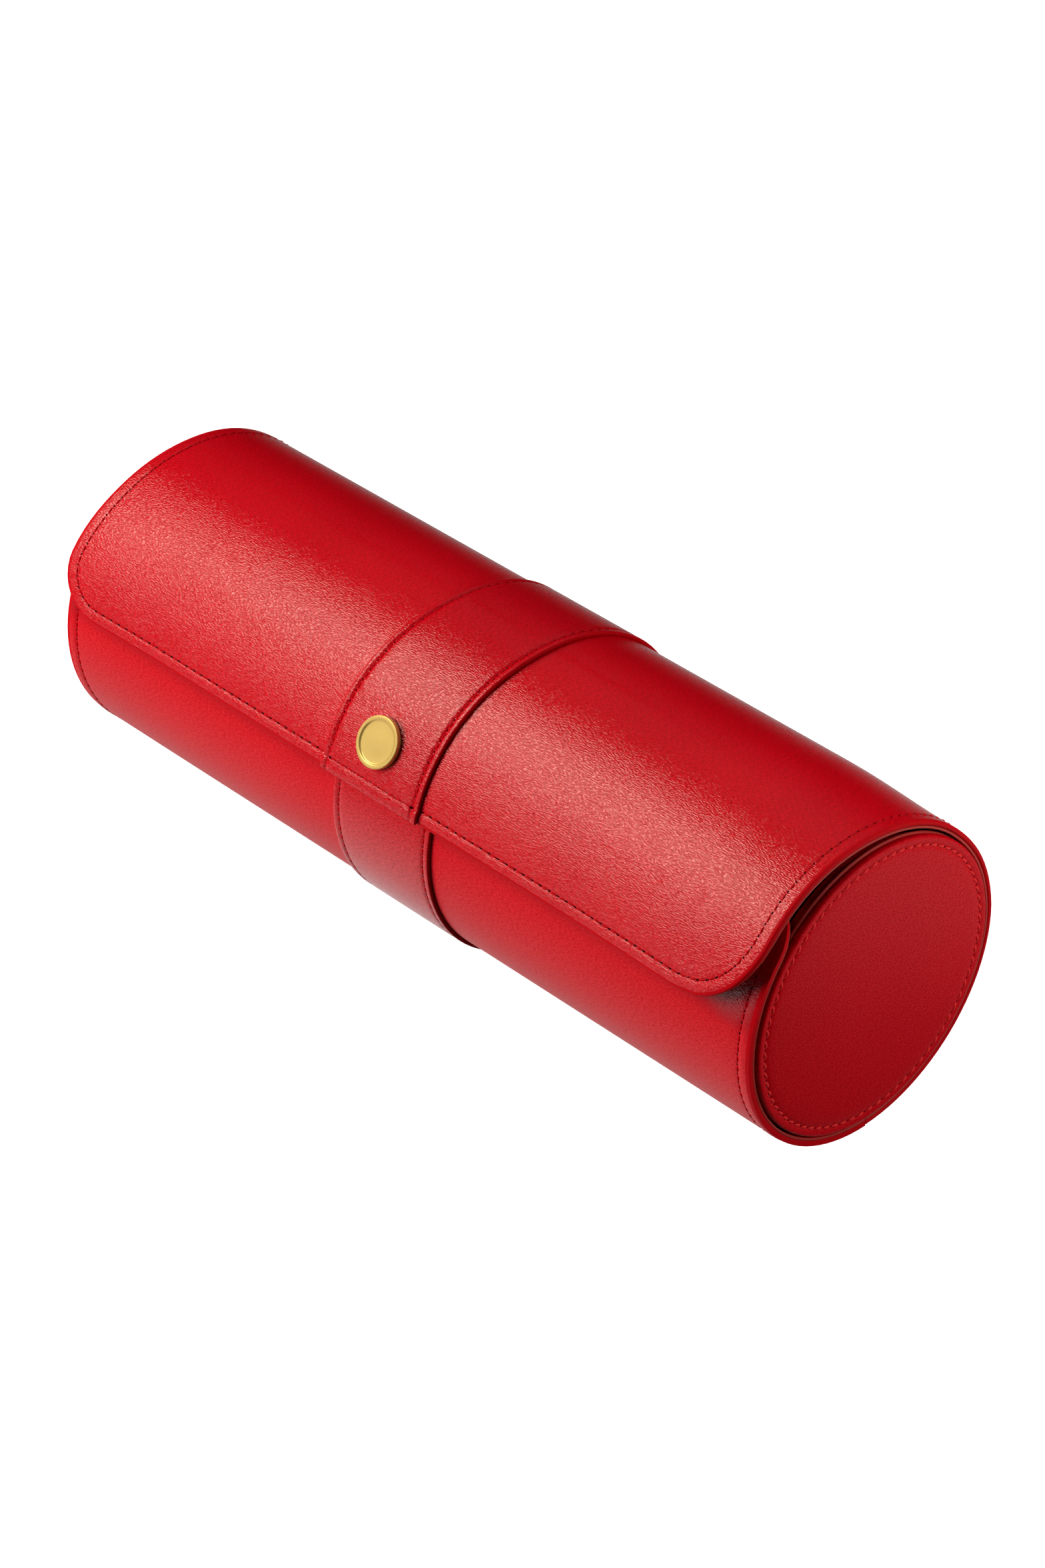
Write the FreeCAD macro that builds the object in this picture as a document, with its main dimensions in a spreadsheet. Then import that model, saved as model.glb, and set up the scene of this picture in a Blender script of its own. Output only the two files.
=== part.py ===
import FreeCAD, Part
import math
import os
import Sketcher

# Watch roll: a stiff leather wrap round three watch pillows.
# X runs along the roll, +Z is up, and the flap opens towards +Y.
# The roll stands on the flat of its band at Z = 0.
# Angles are in degrees from the back (+Y), going up over the top and down the front (-Y is 180).

SIZES = {
    # the wrap
    "wrap_length": 235.0,
    "case_radius": 40.0,
    "leather_thickness": 0.6,
    "stiffener_thickness": 1.0,
    "lining_thickness": 0.4,
    "lower_back_angle": 2.0,
    "lower_front_angle": 166.0,
    # the band round the middle
    "band_width": 33.0,
    "band_thickness": 1.0,
    "band_shift": -2.0,
    "base_web": 0.35,
    # the flap, on a slightly larger arc with its own centre
    "flap_inset": 0.5,
    "flap_shift_front": 1.8,
    "flap_shift_up": 1.3,
    "flap_hinge_angle": 12.0,
    "flap_back_angle": 19.5,
    "flap_front_angle": 166.0,
    "flap_corner": 16.0,
    "hinge_gap": 0.05,
    # the front lip under the flap
    "lip_low_angle": 158.0,
    "lip_top_angle": 125.0,
    "lip_corner": 12.0,
    # closing magnets, in seats cut through the stiffeners
    "magnet_diameter": 8.0,
    "magnet_thickness": 0.75,
    "magnet_play": 0.15,
    "magnet_angle": 145.0,
    "magnet_spread": 75.0,
    # the badge on the flap, with its pins and the clinch plate behind it
    "badge_diameter": 12.6,
    "badge_thickness": 1.3,
    "badge_rim": 1.3,
    "badge_dish": 0.35,
    "badge_edge": 0.3,
    "badge_angle": 148.0,
    "badge_shift": -3.5,
    "badge_lift": 0.05,
    "pin_diameter": 1.4,
    "pin_spacing": 6.0,
    "pin_play": 0.1,
    "clinch_diameter": 9.0,
    "clinch_thickness": 0.5,
    "clinch_play": 0.15,
    # the cradle inside the lower wrap
    "cradle_thickness": 1.4,
    "cradle_lining": 0.4,
    "cradle_back_angle": 0.0,
    "cradle_front_angle": 168.0,
    "seat_gap": 0.05,
    # the two ends
    "wall_play": 0.25,
    "wall_thickness": 3.0,
    "wall_recess": 1.5,
    "wall_rim": 0.5,
    "wall_edge": 0.4,
    "disc_step": 0.3,
    "disc_thickness": 2.1,
    "disc_rim": 0.6,
    "disc_edge": 1.0,
    # dividers between the compartments
    "divider_play": 0.1,
    "divider_core": 2.0,
    "divider_facing": 0.5,
    # watch pillows
    "pillow_end_room": 3.0,
    "pillow_side_room": 7.15,
    "pillow_top_room": 0.75,
    "pillow_cover": 1.0,
    "pillow_clearance": 0.3,
}

doc = FreeCAD.newDocument("watch_roll")
sheet = doc.addObject("Spreadsheet::Sheet", "Sizes")
for row, (alias, value) in enumerate(SIZES.items(), start=1):
    sheet.set("A%d" % row, alias)
    sheet.set("B%d" % row, str(value))
    sheet.setAlias("B%d" % row, alias)
doc.recompute()

FULL_TURN = 360
QUARTER_TURN = 90
ALONG_X = FreeCAD.Vector(1, 0, 0)
ALONG_Y = FreeCAD.Vector(0, 1, 0)
ALONG_Z = FreeCAD.Vector(0, 0, 1)
CLOSE = 1e-4

# Sizes that follow from the sheet, as expressions.
AXIS_HEIGHT = "(Sizes.case_radius + Sizes.base_web)"
WALL = "(Sizes.leather_thickness + Sizes.stiffener_thickness + Sizes.lining_thickness)"
CASE_INSIDE = "(Sizes.case_radius - %s)" % WALL
BAND_TOP = "(Sizes.case_radius + Sizes.band_thickness)"
LOWER_SWEEP = "(%d - Sizes.lower_front_angle + Sizes.lower_back_angle)" % FULL_TURN
LIP_SWEEP = "(Sizes.lip_low_angle - Sizes.lip_top_angle)"
FLAP_SWEEP = "(Sizes.flap_front_angle - Sizes.flap_back_angle)"
FLAP_LENGTH = "(Sizes.wrap_length - 2 * Sizes.flap_inset)"
HINGE_REACH = "(Sizes.case_radius * cos(Sizes.flap_hinge_angle) + Sizes.flap_shift_front)"
HINGE_RISE = "(Sizes.case_radius * sin(Sizes.flap_hinge_angle) - Sizes.flap_shift_up)"
FLAP_RADIUS = "sqrt(%s ^ 2 + %s ^ 2)" % (HINGE_REACH, HINGE_RISE)
FLAP_BAND_TOP = "(%s + Sizes.band_thickness)" % FLAP_RADIUS
CRADLE_OUTSIDE = "(%s - Sizes.seat_gap)" % CASE_INSIDE
CRADLE_FACE = "(%s - Sizes.cradle_thickness)" % CRADLE_OUTSIDE
CRADLE_INSIDE = "(%s - Sizes.cradle_lining)" % CRADLE_FACE
CRADLE_SWEEP = "(%d - Sizes.cradle_front_angle + Sizes.cradle_back_angle)" % FULL_TURN
WALL_RADIUS = "(%s - Sizes.wall_play)" % CASE_INSIDE
DISC_RADIUS = "(%s - Sizes.disc_step)" % WALL_RADIUS
DISC_FACE = "(Sizes.wrap_length / 2 - Sizes.wall_recess)"
WALL_FACE = "(%s - Sizes.wall_thickness)" % DISC_FACE
LINING_FACE = "(%s - Sizes.lining_thickness)" % WALL_FACE
COMPARTMENTS = 3
COMPARTMENT_PITCH = "(2 * %s / %d)" % (LINING_FACE, COMPARTMENTS)
DIVIDER_RADIUS = "(%s - Sizes.divider_play)" % CRADLE_INSIDE
DIVIDER_FACE = "(%s / 2 - Sizes.divider_core / 2)" % COMPARTMENT_PITCH
DIVIDER_THICKNESS = "(Sizes.divider_core + 2 * Sizes.divider_facing)"

# The two centres that the curved panels are drawn about, as Y and Z.
CASE_AXIS = ("0", AXIS_HEIGHT)
FLAP_AXIS = ("(-Sizes.flap_shift_front)", "(%s + Sizes.flap_shift_up)" % AXIS_HEIGHT)

subparts = []


def finish(item, label):
    """Names an object as one sub-part of the roll."""
    item.Label = label
    subparts.append(item)


def origin_plane(body, role):
    """One of the body's own datum planes."""
    for feature in body.Origin.OriginFeatures:
        if feature.Role == role:
            return feature
    raise ValueError(role)


def new_sketch(body, name):
    """A sketch on the body's own XY plane."""
    sketch = body.newObject("Sketcher::SketchObject", name)
    sketch.AttachmentSupport = (origin_plane(body, "XY_Plane"), [""])
    sketch.MapMode = "FlatFace"
    return sketch


def bind(sketch, label, constraint, expression):
    """Adds a constraint with a name and ties its value to an expression."""
    index = sketch.addConstraint(constraint)
    sketch.renameConstraint(index, label)
    sketch.setExpression("Constraints." + label, expression)


def place(item, x, y, z):
    """Ties an object's position to expressions."""
    item.setExpression("Placement.Base.x", x)
    item.setExpression("Placement.Base.y", y)
    item.setExpression("Placement.Base.z", z)


def turn_about_x(item, angle):
    """Ties an object's turn about X to an expression in degrees."""
    item.Placement = FreeCAD.Placement(FreeCAD.Vector(), FreeCAD.Rotation(ALONG_X, QUARTER_TURN))
    item.setExpression("Placement.Rotation.Angle", angle)


def curved_panel(name, radii, start, sweep, length, middle="0", axis=CASE_AXIS):
    """A panel bent round the roll: a rectangle revolved about X from a start angle."""
    body = doc.addObject("PartDesign::Body", name)
    sketch = new_sketch(body, name + "_section")
    reach, low, high = 100, 38, 40
    corners = [(-reach, low), (reach, low), (reach, high), (-reach, high)]
    points = [FreeCAD.Vector(x, y, 0) for x, y in corners]
    for index in range(4):
        sketch.addGeometry(Part.LineSegment(points[index], points[(index + 1) % 4]), False)
    for index in range(4):
        sketch.addConstraint(Sketcher.Constraint("Coincident", index, 2, (index + 1) % 4, 1))
        sketch.addConstraint(Sketcher.Constraint(("Horizontal", "Vertical")[index % 2], index))
    inner, outer = radii
    bind(sketch, "inner_radius", Sketcher.Constraint("DistanceY", -1, 1, 0, 1, low), inner)
    bind(sketch, "outer_radius", Sketcher.Constraint("DistanceY", -1, 1, 2, 1, high), outer)
    right = "%s / 2 + %s" % (length, middle)
    left = "%s / 2 - %s" % (length, middle)
    bind(sketch, "right_reach", Sketcher.Constraint("DistanceX", -1, 1, 1, 1, reach), right)
    bind(sketch, "left_reach", Sketcher.Constraint("DistanceX", 0, 1, -1, 1, reach), left)
    revolved = body.newObject("PartDesign::Revolution", name + "_turn")
    revolved.Profile = sketch
    revolved.ReferenceAxis = (sketch, ["H_Axis"])
    revolved.setExpression("Angle", sweep)
    turn_about_x(body, start)
    place(body, "0", axis[0], axis[1])
    doc.recompute()
    return body


def corner_cutters(name, corner, edge_angle, edge_radius, length, panel_above, axis):
    """Two radial cutters that round a curved panel's corners, left and right, at one straight edge."""
    body = doc.addObject("PartDesign::Body", name + "_right")
    sketch = new_sketch(body, name + "_outline")
    drawn = 10
    outline = [(0, -drawn), (2 * drawn, -drawn), (2 * drawn, drawn), (drawn, drawn)]
    points = [FreeCAD.Vector(x, y, 0) for x, y in outline]
    for first, second in zip(points, points[1:]):
        sketch.addGeometry(Part.LineSegment(first, second), False)
    circle = Part.Circle(FreeCAD.Vector(0, drawn, 0), ALONG_Z, drawn)
    arc = sketch.addGeometry(Part.ArcOfCircle(circle, -math.pi / 2, 0), False)
    back = sketch.addGeometry(Part.LineSegment(FreeCAD.Vector(), points[0]), False)
    meetings = ((0, 2, 1, 1), (1, 2, 2, 1), (2, 2, arc, 2), (arc, 1, back, 1), (back, 2, 0, 1))
    for meeting in meetings:
        sketch.addConstraint(Sketcher.Constraint("Coincident", *meeting))
    for direction, line in (("Horizontal", 0), ("Vertical", 1), ("Horizontal", 2), ("Vertical", back)):
        sketch.addConstraint(Sketcher.Constraint(direction, line))
    sketch.addConstraint(Sketcher.Constraint("Coincident", back, 1, -1, 1))
    sketch.addConstraint(Sketcher.Constraint("PointOnObject", arc, 3, -2))
    sketch.addConstraint(Sketcher.Constraint("Horizontal", arc, 3, arc, 2))
    bind(sketch, "corner", Sketcher.Constraint("Radius", arc, drawn), corner)
    bind(sketch, "past_edge", Sketcher.Constraint("DistanceY", 0, 1, -1, 1, drawn), corner)
    bind(sketch, "past_end", Sketcher.Constraint("DistanceX", -1, 1, 1, 1, 2 * drawn), "2 * %s" % corner)
    pad = body.newObject("PartDesign::Pad", name + "_bar")
    pad.Profile = sketch
    pad.setExpression("Length", "2 * %s" % corner)
    sign = "-" if panel_above else "+"
    start = "(%s %s %s)" % (edge_radius, sign, corner)
    turn_about_x(body, "%s %s %d" % (edge_angle, sign, QUARTER_TURN))
    y = "%s + %s * cos(%s)" % (axis[0], start, edge_angle)
    z = "%s + %s * sin(%s)" % (axis[1], start, edge_angle)
    place(body, "%s / 2 - %s" % (length, corner), y, z)
    left = doc.addObject("Part::Mirroring", name + "_left")
    left.Source = body
    left.Normal = ALONG_X
    doc.recompute()
    return [body, left]


def add_circle(sketch, label, radius, offset=None):
    """A circle at the sketch's origin, or at an offset along its first axis, with its radius tied."""
    drawn = 10
    centre = FreeCAD.Vector(drawn if offset else 0, 0, 0)
    index = sketch.addGeometry(Part.Circle(centre, ALONG_Z, drawn), False)
    if offset:
        sketch.addConstraint(Sketcher.Constraint("PointOnObject", index, 3, -1))
        bind(sketch, label + "_offset", Sketcher.Constraint("DistanceX", -1, 1, index, 3, drawn), offset)
    else:
        sketch.addConstraint(Sketcher.Constraint("Coincident", index, 3, -1, 1))
    bind(sketch, label, Sketcher.Constraint("Radius", index, drawn), radius)


def round_plate(name, radius, thickness):
    """A round plate on the body's XY plane, growing along its Z."""
    body = doc.addObject("PartDesign::Body", name)
    sketch = new_sketch(body, name + "_outline")
    add_circle(sketch, "radius", radius)
    pad = body.newObject("PartDesign::Pad", name + "_plate")
    pad.Profile = sketch
    pad.setExpression("Length", thickness)
    doc.recompute()
    return body


def sink(body, name, radius, depth, from_top):
    """Cuts a round recess into the plate's back face, or from a height down into its front."""
    whole = body.Tip.Shape.Volume
    sketch = new_sketch(body, name + "_outline")
    add_circle(sketch, "recess_radius", radius)
    pocket = body.newObject("PartDesign::Pocket", name)
    pocket.Profile = sketch
    pocket.setExpression("Length", depth)
    if from_top:
        sketch.setExpression("AttachmentOffset.Base.z", from_top)
    else:
        pocket.Reversed = True
    body.Tip = pocket
    doc.recompute()
    if not pocket.Shape.Volume < whole:
        raise ValueError(name + " cuts nothing")


def soften_front(body, radius):
    """Rounds the outside edge of a round plate's front face."""
    plate = body.Tip
    box = plate.Shape.BoundBox
    names = []
    for index, edge in enumerate(plate.Shape.Edges, start=1):
        ring = edge.BoundBox
        if abs(ring.ZMin - box.ZMax) < CLOSE and abs(ring.XLength - box.XLength) < CLOSE:
            names.append("Edge%d" % index)
    fillet = body.newObject("PartDesign::Fillet", body.Name + "_edge")
    fillet.Base = (plate, names)
    fillet.setExpression("Radius", radius)
    body.Tip = fillet
    doc.recompute()


def set_at_end(body, face_x, side):
    """Puts a round plate on the roll's axis, with its back face at a distance from the middle."""
    body.Placement = FreeCAD.Placement(FreeCAD.Vector(), FreeCAD.Rotation(ALONG_Y, side * QUARTER_TURN))
    place(body, "%d * %s" % (side, face_x), CASE_AXIS[0], CASE_AXIS[1])
    doc.recompute()


def disc(name, radius, thickness, face_x, side):
    """A flat disc across the roll."""
    body = round_plate(name, radius, thickness)
    set_at_end(body, face_x, side)
    return body


def leather_cup(name, radius, thickness, rim, edge, face_x, side):
    """Leather turned over a round board: a shallow cup with a soft outer edge."""
    body = round_plate(name, radius, thickness)
    sink(body, name + "_seat", "%s - %s" % (radius, rim), "%s - Sizes.leather_thickness" % thickness, None)
    soften_front(body, edge)
    set_at_end(body, face_x, side)
    return body


def stand_out(item, inner, angle, x, axis):
    """Points an object's Z straight out of the roll at an angle, from an inner radius."""
    turn_about_x(item, "%s - %d" % (angle, QUARTER_TURN))
    y = "%s + (%s) * cos(%s)" % (axis[0], inner, angle)
    z = "%s + (%s) * sin(%s)" % (axis[1], inner, angle)
    place(item, x, y, z)


def radial_rod(name, diameter, length, inner, angle, x, axis):
    """A rod that points straight out of the roll."""
    rod = doc.addObject("Part::Cylinder", name)
    rod.setExpression("Radius", "%s / 2" % diameter)
    rod.setExpression("Height", length)
    stand_out(rod, inner, angle, x, axis)
    doc.recompute()
    return rod


def group(name, items):
    """Separate solids that share one object."""
    result = doc.addObject("Part::Compound", name)
    result.Links = items
    doc.recompute()
    return result


def cut(name, base, tools):
    """One object with others cut from it."""
    result = doc.addObject("Part::Cut", name)
    result.Base = base
    result.Tool = tools[0] if len(tools) == 1 else group(name + "_tools", tools)
    doc.recompute()
    if not result.Shape.Volume < base.Shape.Volume:
        raise ValueError(name + ": nothing is cut")
    return result


def layers(outer):
    """Inner and outer radius of a wrap's leather, stiffener and lining, from its outside inward."""
    below_leather = "(%s - Sizes.leather_thickness)" % outer
    below_stiffener = "(%s - Sizes.stiffener_thickness)" % below_leather
    inside = "(%s - Sizes.lining_thickness)" % below_stiffener
    return {
        "leather": (below_leather, outer),
        "stiffener": (below_stiffener, below_leather),
        "lining": (inside, below_stiffener),
    }


def flat_seat(seat_radius, diameter, thickness):
    """Radius at which a flat disc lies in a curved stiffener, midway between the layers beside it."""
    dip = "(%s - sqrt(%s ^ 2 - (%s / 2) ^ 2))" % (seat_radius, seat_radius, diameter)
    return "(%s + (Sizes.stiffener_thickness - %s - %s) / 2)" % (seat_radius, thickness, dip)


def pair_of_rods(name, diameter, length, inner, angle, middle, half_spread, axis):
    """Two radial rods, the same distance each side of a place along the roll."""
    rods = []
    for hand, sign in (("left", "-"), ("right", "+")):
        x = "%s %s %s" % (middle, sign, half_spread)
        rods.append(radial_rod("%s_%s" % (name, hand), diameter, length, inner, angle, x, axis))
    return rods


def magnets(name, seat_radius, axis):
    """The two flat magnets of a stiffener."""
    inner = flat_seat(seat_radius, "Sizes.magnet_diameter", "Sizes.magnet_thickness")
    return pair_of_rods(
        name, "Sizes.magnet_diameter", "Sizes.magnet_thickness", inner, "Sizes.magnet_angle",
        "0", "Sizes.magnet_spread", axis,
    )


def magnet_seats(name, seat_radius, axis):
    """Cutters for the magnets' seats, which go right through the stiffener."""
    hole = "(Sizes.magnet_diameter + 2 * Sizes.magnet_play)"
    inner = "(%s - Sizes.stiffener_thickness)" % seat_radius
    return pair_of_rods(
        name, hole, "3 * Sizes.stiffener_thickness", inner, "Sizes.magnet_angle",
        "0", "Sizes.magnet_spread", axis,
    )


# The lower wrap, from the foot of the lip round the bottom to the back hinge, and the band on it.
CASE_LAYERS = layers("Sizes.case_radius")
CASE_BAND = ("Sizes.case_radius", BAND_TOP)
for layer, radii in CASE_LAYERS.items():
    name = "lower_" + layer
    finish(curved_panel(name, radii, "Sizes.lower_front_angle", LOWER_SWEEP, "Sizes.wrap_length"), name)

band_blank = curved_panel(
    "lower_band_blank", CASE_BAND, "Sizes.lower_front_angle", LOWER_SWEEP,
    "Sizes.band_width", "Sizes.band_shift",
)
below_floor = doc.addObject("Part::Box", "below_floor")
below_floor.setExpression("Length", "2 * Sizes.band_width")
below_floor.setExpression("Width", "2 * Sizes.case_radius")
below_floor.setExpression("Height", "Sizes.case_radius")
place(below_floor, "Sizes.band_shift - Sizes.band_width", "-Sizes.case_radius", "-Sizes.case_radius")
finish(cut("lower_band", band_blank, [below_floor]), "lower_band")

# The lip: the free front edge of the lower wrap, which goes up under the flap.
LIP_SEAT = CASE_LAYERS["stiffener"][0]
lip_corners = corner_cutters(
    "lip_corner_cutter", "Sizes.lip_corner", "Sizes.lip_top_angle", "Sizes.case_radius", "Sizes.wrap_length",
    False, CASE_AXIS,
)
lip_cutters = {"stiffener": magnet_seats("lip_magnet_seat", LIP_SEAT, CASE_AXIS)}
for layer, radii in CASE_LAYERS.items():
    name = "lip_" + layer
    blank = curved_panel(name + "_blank", radii, "Sizes.lip_top_angle", LIP_SWEEP, "Sizes.wrap_length")
    finish(cut(name, blank, lip_corners + lip_cutters.get(layer, [])), name)
lip_band = curved_panel(
    "lip_band", CASE_BAND, "Sizes.lip_top_angle", LIP_SWEEP, "Sizes.band_width", "Sizes.band_shift",
)
finish(lip_band, "lip_band")
finish(group("lip_magnets", magnets("lip_magnet", LIP_SEAT, CASE_AXIS)), "lip_magnets")

# The soft strips without stiffener where the lip and the flap bend.
LIP_STRIP_START = "(Sizes.lip_low_angle + Sizes.hinge_gap)"
LIP_STRIP_SWEEP = "(Sizes.lower_front_angle - Sizes.lip_low_angle - 2 * Sizes.hinge_gap)"
LOWER_END_RISE = "(Sizes.case_radius * sin(Sizes.lower_back_angle) - Sizes.flap_shift_up)"
LOWER_END_REACH = "(Sizes.case_radius * cos(Sizes.lower_back_angle) + Sizes.flap_shift_front)"
BAND_END_RISE = "(%s * sin(Sizes.lower_back_angle) - Sizes.flap_shift_up)" % BAND_TOP
BAND_END_REACH = "(%s * cos(Sizes.lower_back_angle) + Sizes.flap_shift_front)" % BAND_TOP
FLAP_LAYERS = layers(FLAP_RADIUS)
FLAP_BAND = (FLAP_RADIUS, FLAP_BAND_TOP)


def flap_strip(name, radii, end_rise, end_reach, length, middle="0"):
    """A strip of the back hinge, from the lower wrap's back edge to the flap's."""
    start = "(atan(%s / %s) / 1 deg + Sizes.hinge_gap)" % (end_rise, end_reach)
    sweep = "Sizes.flap_back_angle - Sizes.hinge_gap - %s" % start
    finish(curved_panel(name, radii, start, sweep, length, middle, FLAP_AXIS), name)


def lip_strip(name, radii, length, middle="0"):
    """A strip of the front hinge, from the lip's foot to the lower wrap's front edge."""
    finish(curved_panel(name, radii, LIP_STRIP_START, LIP_STRIP_SWEEP, length, middle), name)


flap_strip("back_hinge_leather", FLAP_LAYERS["leather"], LOWER_END_RISE, LOWER_END_REACH, FLAP_LENGTH)
flap_strip(
    "back_hinge_band", FLAP_BAND, BAND_END_RISE, BAND_END_REACH, "Sizes.band_width", "Sizes.band_shift",
)
lip_strip("front_hinge_leather", CASE_LAYERS["leather"], "Sizes.wrap_length")
lip_strip("front_hinge_band", CASE_BAND, "Sizes.band_width", "Sizes.band_shift")

# The flap, from the back hinge over the top to its front edge.
FLAP_SEAT = FLAP_LAYERS["stiffener"][0]
CLINCH_INNER = flat_seat(FLAP_SEAT, "Sizes.clinch_diameter", "Sizes.clinch_thickness")
BADGE_BACK = "(%s + Sizes.badge_lift)" % FLAP_BAND_TOP
PIN_HOLE = "(Sizes.pin_diameter + 2 * Sizes.pin_play)"
PIN_LENGTH = "(%s - %s)" % (BADGE_BACK, CLINCH_INNER)


def pin_holes(name):
    """Cutters for the two pins of the badge, through everything behind it."""
    return pair_of_rods(
        name, PIN_HOLE, "2 * %s" % PIN_LENGTH, "(%s - %s)" % (CLINCH_INNER, "Sizes.clinch_thickness"),
        "Sizes.badge_angle", "Sizes.badge_shift", "Sizes.pin_spacing / 2", FLAP_AXIS,
    )


clinch_seat = radial_rod(
    "clinch_seat", "(Sizes.clinch_diameter + 2 * Sizes.clinch_play)", "3 * Sizes.stiffener_thickness",
    "(%s - Sizes.stiffener_thickness)" % FLAP_SEAT, "Sizes.badge_angle", "Sizes.badge_shift", FLAP_AXIS,
)
flap_cutters = {
    "leather": pin_holes("leather_pin_hole"),
    "stiffener": magnet_seats("flap_magnet_seat", FLAP_SEAT, FLAP_AXIS) + [clinch_seat],
}
flap_corners = corner_cutters(
    "flap_corner_cutter", "Sizes.flap_corner", "Sizes.flap_front_angle", FLAP_RADIUS, FLAP_LENGTH,
    True, FLAP_AXIS,
)
for layer, radii in FLAP_LAYERS.items():
    name = "flap_" + layer
    blank = curved_panel(
        name + "_blank", radii, "Sizes.flap_back_angle", FLAP_SWEEP, FLAP_LENGTH, "0", FLAP_AXIS,
    )
    finish(cut(name, blank, flap_corners + flap_cutters.get(layer, [])), name)
flap_band = curved_panel(
    "flap_band_blank", FLAP_BAND, "Sizes.flap_back_angle", FLAP_SWEEP,
    "Sizes.band_width", "Sizes.band_shift", FLAP_AXIS,
)
finish(cut("flap_band", flap_band, pin_holes("band_pin_hole")), "flap_band")
finish(group("flap_magnets", magnets("flap_magnet", FLAP_SEAT, FLAP_AXIS)), "flap_magnets")

# The badge: a plain dished disc on two pins, which go through the band and the leather into a clinch plate.
badge = round_plate("badge", "Sizes.badge_diameter / 2", "Sizes.badge_thickness")
soften_front(badge, "Sizes.badge_edge")
DISH_RADIUS = "Sizes.badge_diameter / 2 - Sizes.badge_rim"
sink(badge, "badge_dish", DISH_RADIUS, "Sizes.badge_dish", "Sizes.badge_thickness")
pin_outline = new_sketch(badge, "badge_pin_outline")
add_circle(pin_outline, "right_pin", "Sizes.pin_diameter / 2", "Sizes.pin_spacing / 2")
add_circle(pin_outline, "left_pin", "Sizes.pin_diameter / 2", "-Sizes.pin_spacing / 2")
pins = badge.newObject("PartDesign::Pad", "badge_pins")
pins.Profile = pin_outline
pins.setExpression("Length", PIN_LENGTH)
pins.Reversed = True
badge.Tip = pins
stand_out(badge, BADGE_BACK, "Sizes.badge_angle", "Sizes.badge_shift", FLAP_AXIS)
doc.recompute()
finish(badge, "badge")
clinch_blank = radial_rod(
    "clinch_blank", "Sizes.clinch_diameter", "Sizes.clinch_thickness", CLINCH_INNER,
    "Sizes.badge_angle", "Sizes.badge_shift", FLAP_AXIS,
)
finish(cut("badge_clinch", clinch_blank, pin_holes("clinch_pin_hole")), "badge_clinch")

# The cradle: the half tube that keeps the lower wrap round.
CRADLE_LENGTH = "(2 * %s - 2 * Sizes.seat_gap)" % LINING_FACE
for name, radii in (
    ("cradle_board", (CRADLE_FACE, CRADLE_OUTSIDE)),
    ("cradle_lining", (CRADLE_INSIDE, CRADLE_FACE)),
):
    finish(curved_panel(name, radii, "Sizes.cradle_front_angle", CRADLE_SWEEP, CRADLE_LENGTH), name)

# The two ends: a leather-covered wall with a suede lining inside and a stitched leather disc outside.
for hand, side in (("left", -1), ("right", 1)):
    wall_leather = leather_cup(
        hand + "_wall_leather", WALL_RADIUS, "Sizes.wall_thickness", "Sizes.wall_rim", "Sizes.wall_edge",
        WALL_FACE, side,
    )
    finish(wall_leather, hand + "_wall_leather")
    wall_board = disc(
        hand + "_wall_board", "(%s - Sizes.wall_rim - Sizes.seat_gap)" % WALL_RADIUS,
        "Sizes.wall_thickness - Sizes.leather_thickness", WALL_FACE, side,
    )
    finish(wall_board, hand + "_wall_board")
    wall_lining = disc(hand + "_wall_lining", WALL_RADIUS, "Sizes.lining_thickness", LINING_FACE, side)
    finish(wall_lining, hand + "_wall_lining")
    disc_leather = leather_cup(
        hand + "_disc_leather", DISC_RADIUS, "Sizes.disc_thickness", "Sizes.disc_rim", "Sizes.disc_edge",
        DISC_FACE, side,
    )
    finish(disc_leather, hand + "_disc_leather")
    disc_board = disc(
        hand + "_disc_board", "(%s - Sizes.disc_rim - Sizes.seat_gap)" % DISC_RADIUS,
        "Sizes.disc_thickness - Sizes.leather_thickness", DISC_FACE, side,
    )
    finish(disc_board, hand + "_disc_board")

# The two dividers: a board with a suede facing on each side.
for hand, side in (("left", -1), ("right", 1)):
    board = disc(hand + "_divider_board", DIVIDER_RADIUS, "Sizes.divider_core", DIVIDER_FACE, side)
    finish(board, hand + "_divider_board")
    outer_face = "(%s + Sizes.divider_core)" % DIVIDER_FACE
    inner_face = "(%s - Sizes.divider_facing)" % DIVIDER_FACE
    facings = [
        disc("%s_divider_facing_%d" % (hand, index), DIVIDER_RADIUS, "Sizes.divider_facing", face, side)
        for index, face in enumerate((inner_face, outer_face), start=1)
    ]
    finish(group(hand + "_divider_facings", facings), hand + "_divider_facings")

# The three watch pillows, oval in section: foam in a suede sleeve that is closed by two end panels.
# The oval is a little flatter underneath than the cradle, so it settles on its lowest line.
PILLOW_HALF_WIDTH = "(%s - Sizes.pillow_side_room)" % CRADLE_INSIDE
PILLOW_HALF_HEIGHT = "(%s ^ 2 / %s - Sizes.pillow_top_room)" % (PILLOW_HALF_WIDTH, CRADLE_INSIDE)
PILLOW_HEIGHT = "(%s - %s + Sizes.pillow_clearance + %s)" % (AXIS_HEIGHT, CRADLE_INSIDE, PILLOW_HALF_HEIGHT)
PILLOW_LENGTH = "(%s - %s - 2 * Sizes.pillow_end_room)" % (COMPARTMENT_PITCH, DIVIDER_THICKNESS)
PILLOW_CORE = "(%s - 2 * Sizes.pillow_cover)" % PILLOW_LENGTH
WHOLE_OVAL = "0 * Sizes.pillow_cover"
THIRD_OF_TURN = 120
LENGTH_TO_X = FreeCAD.Rotation(FreeCAD.Vector(1, 1, 1), THIRD_OF_TURN)


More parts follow.
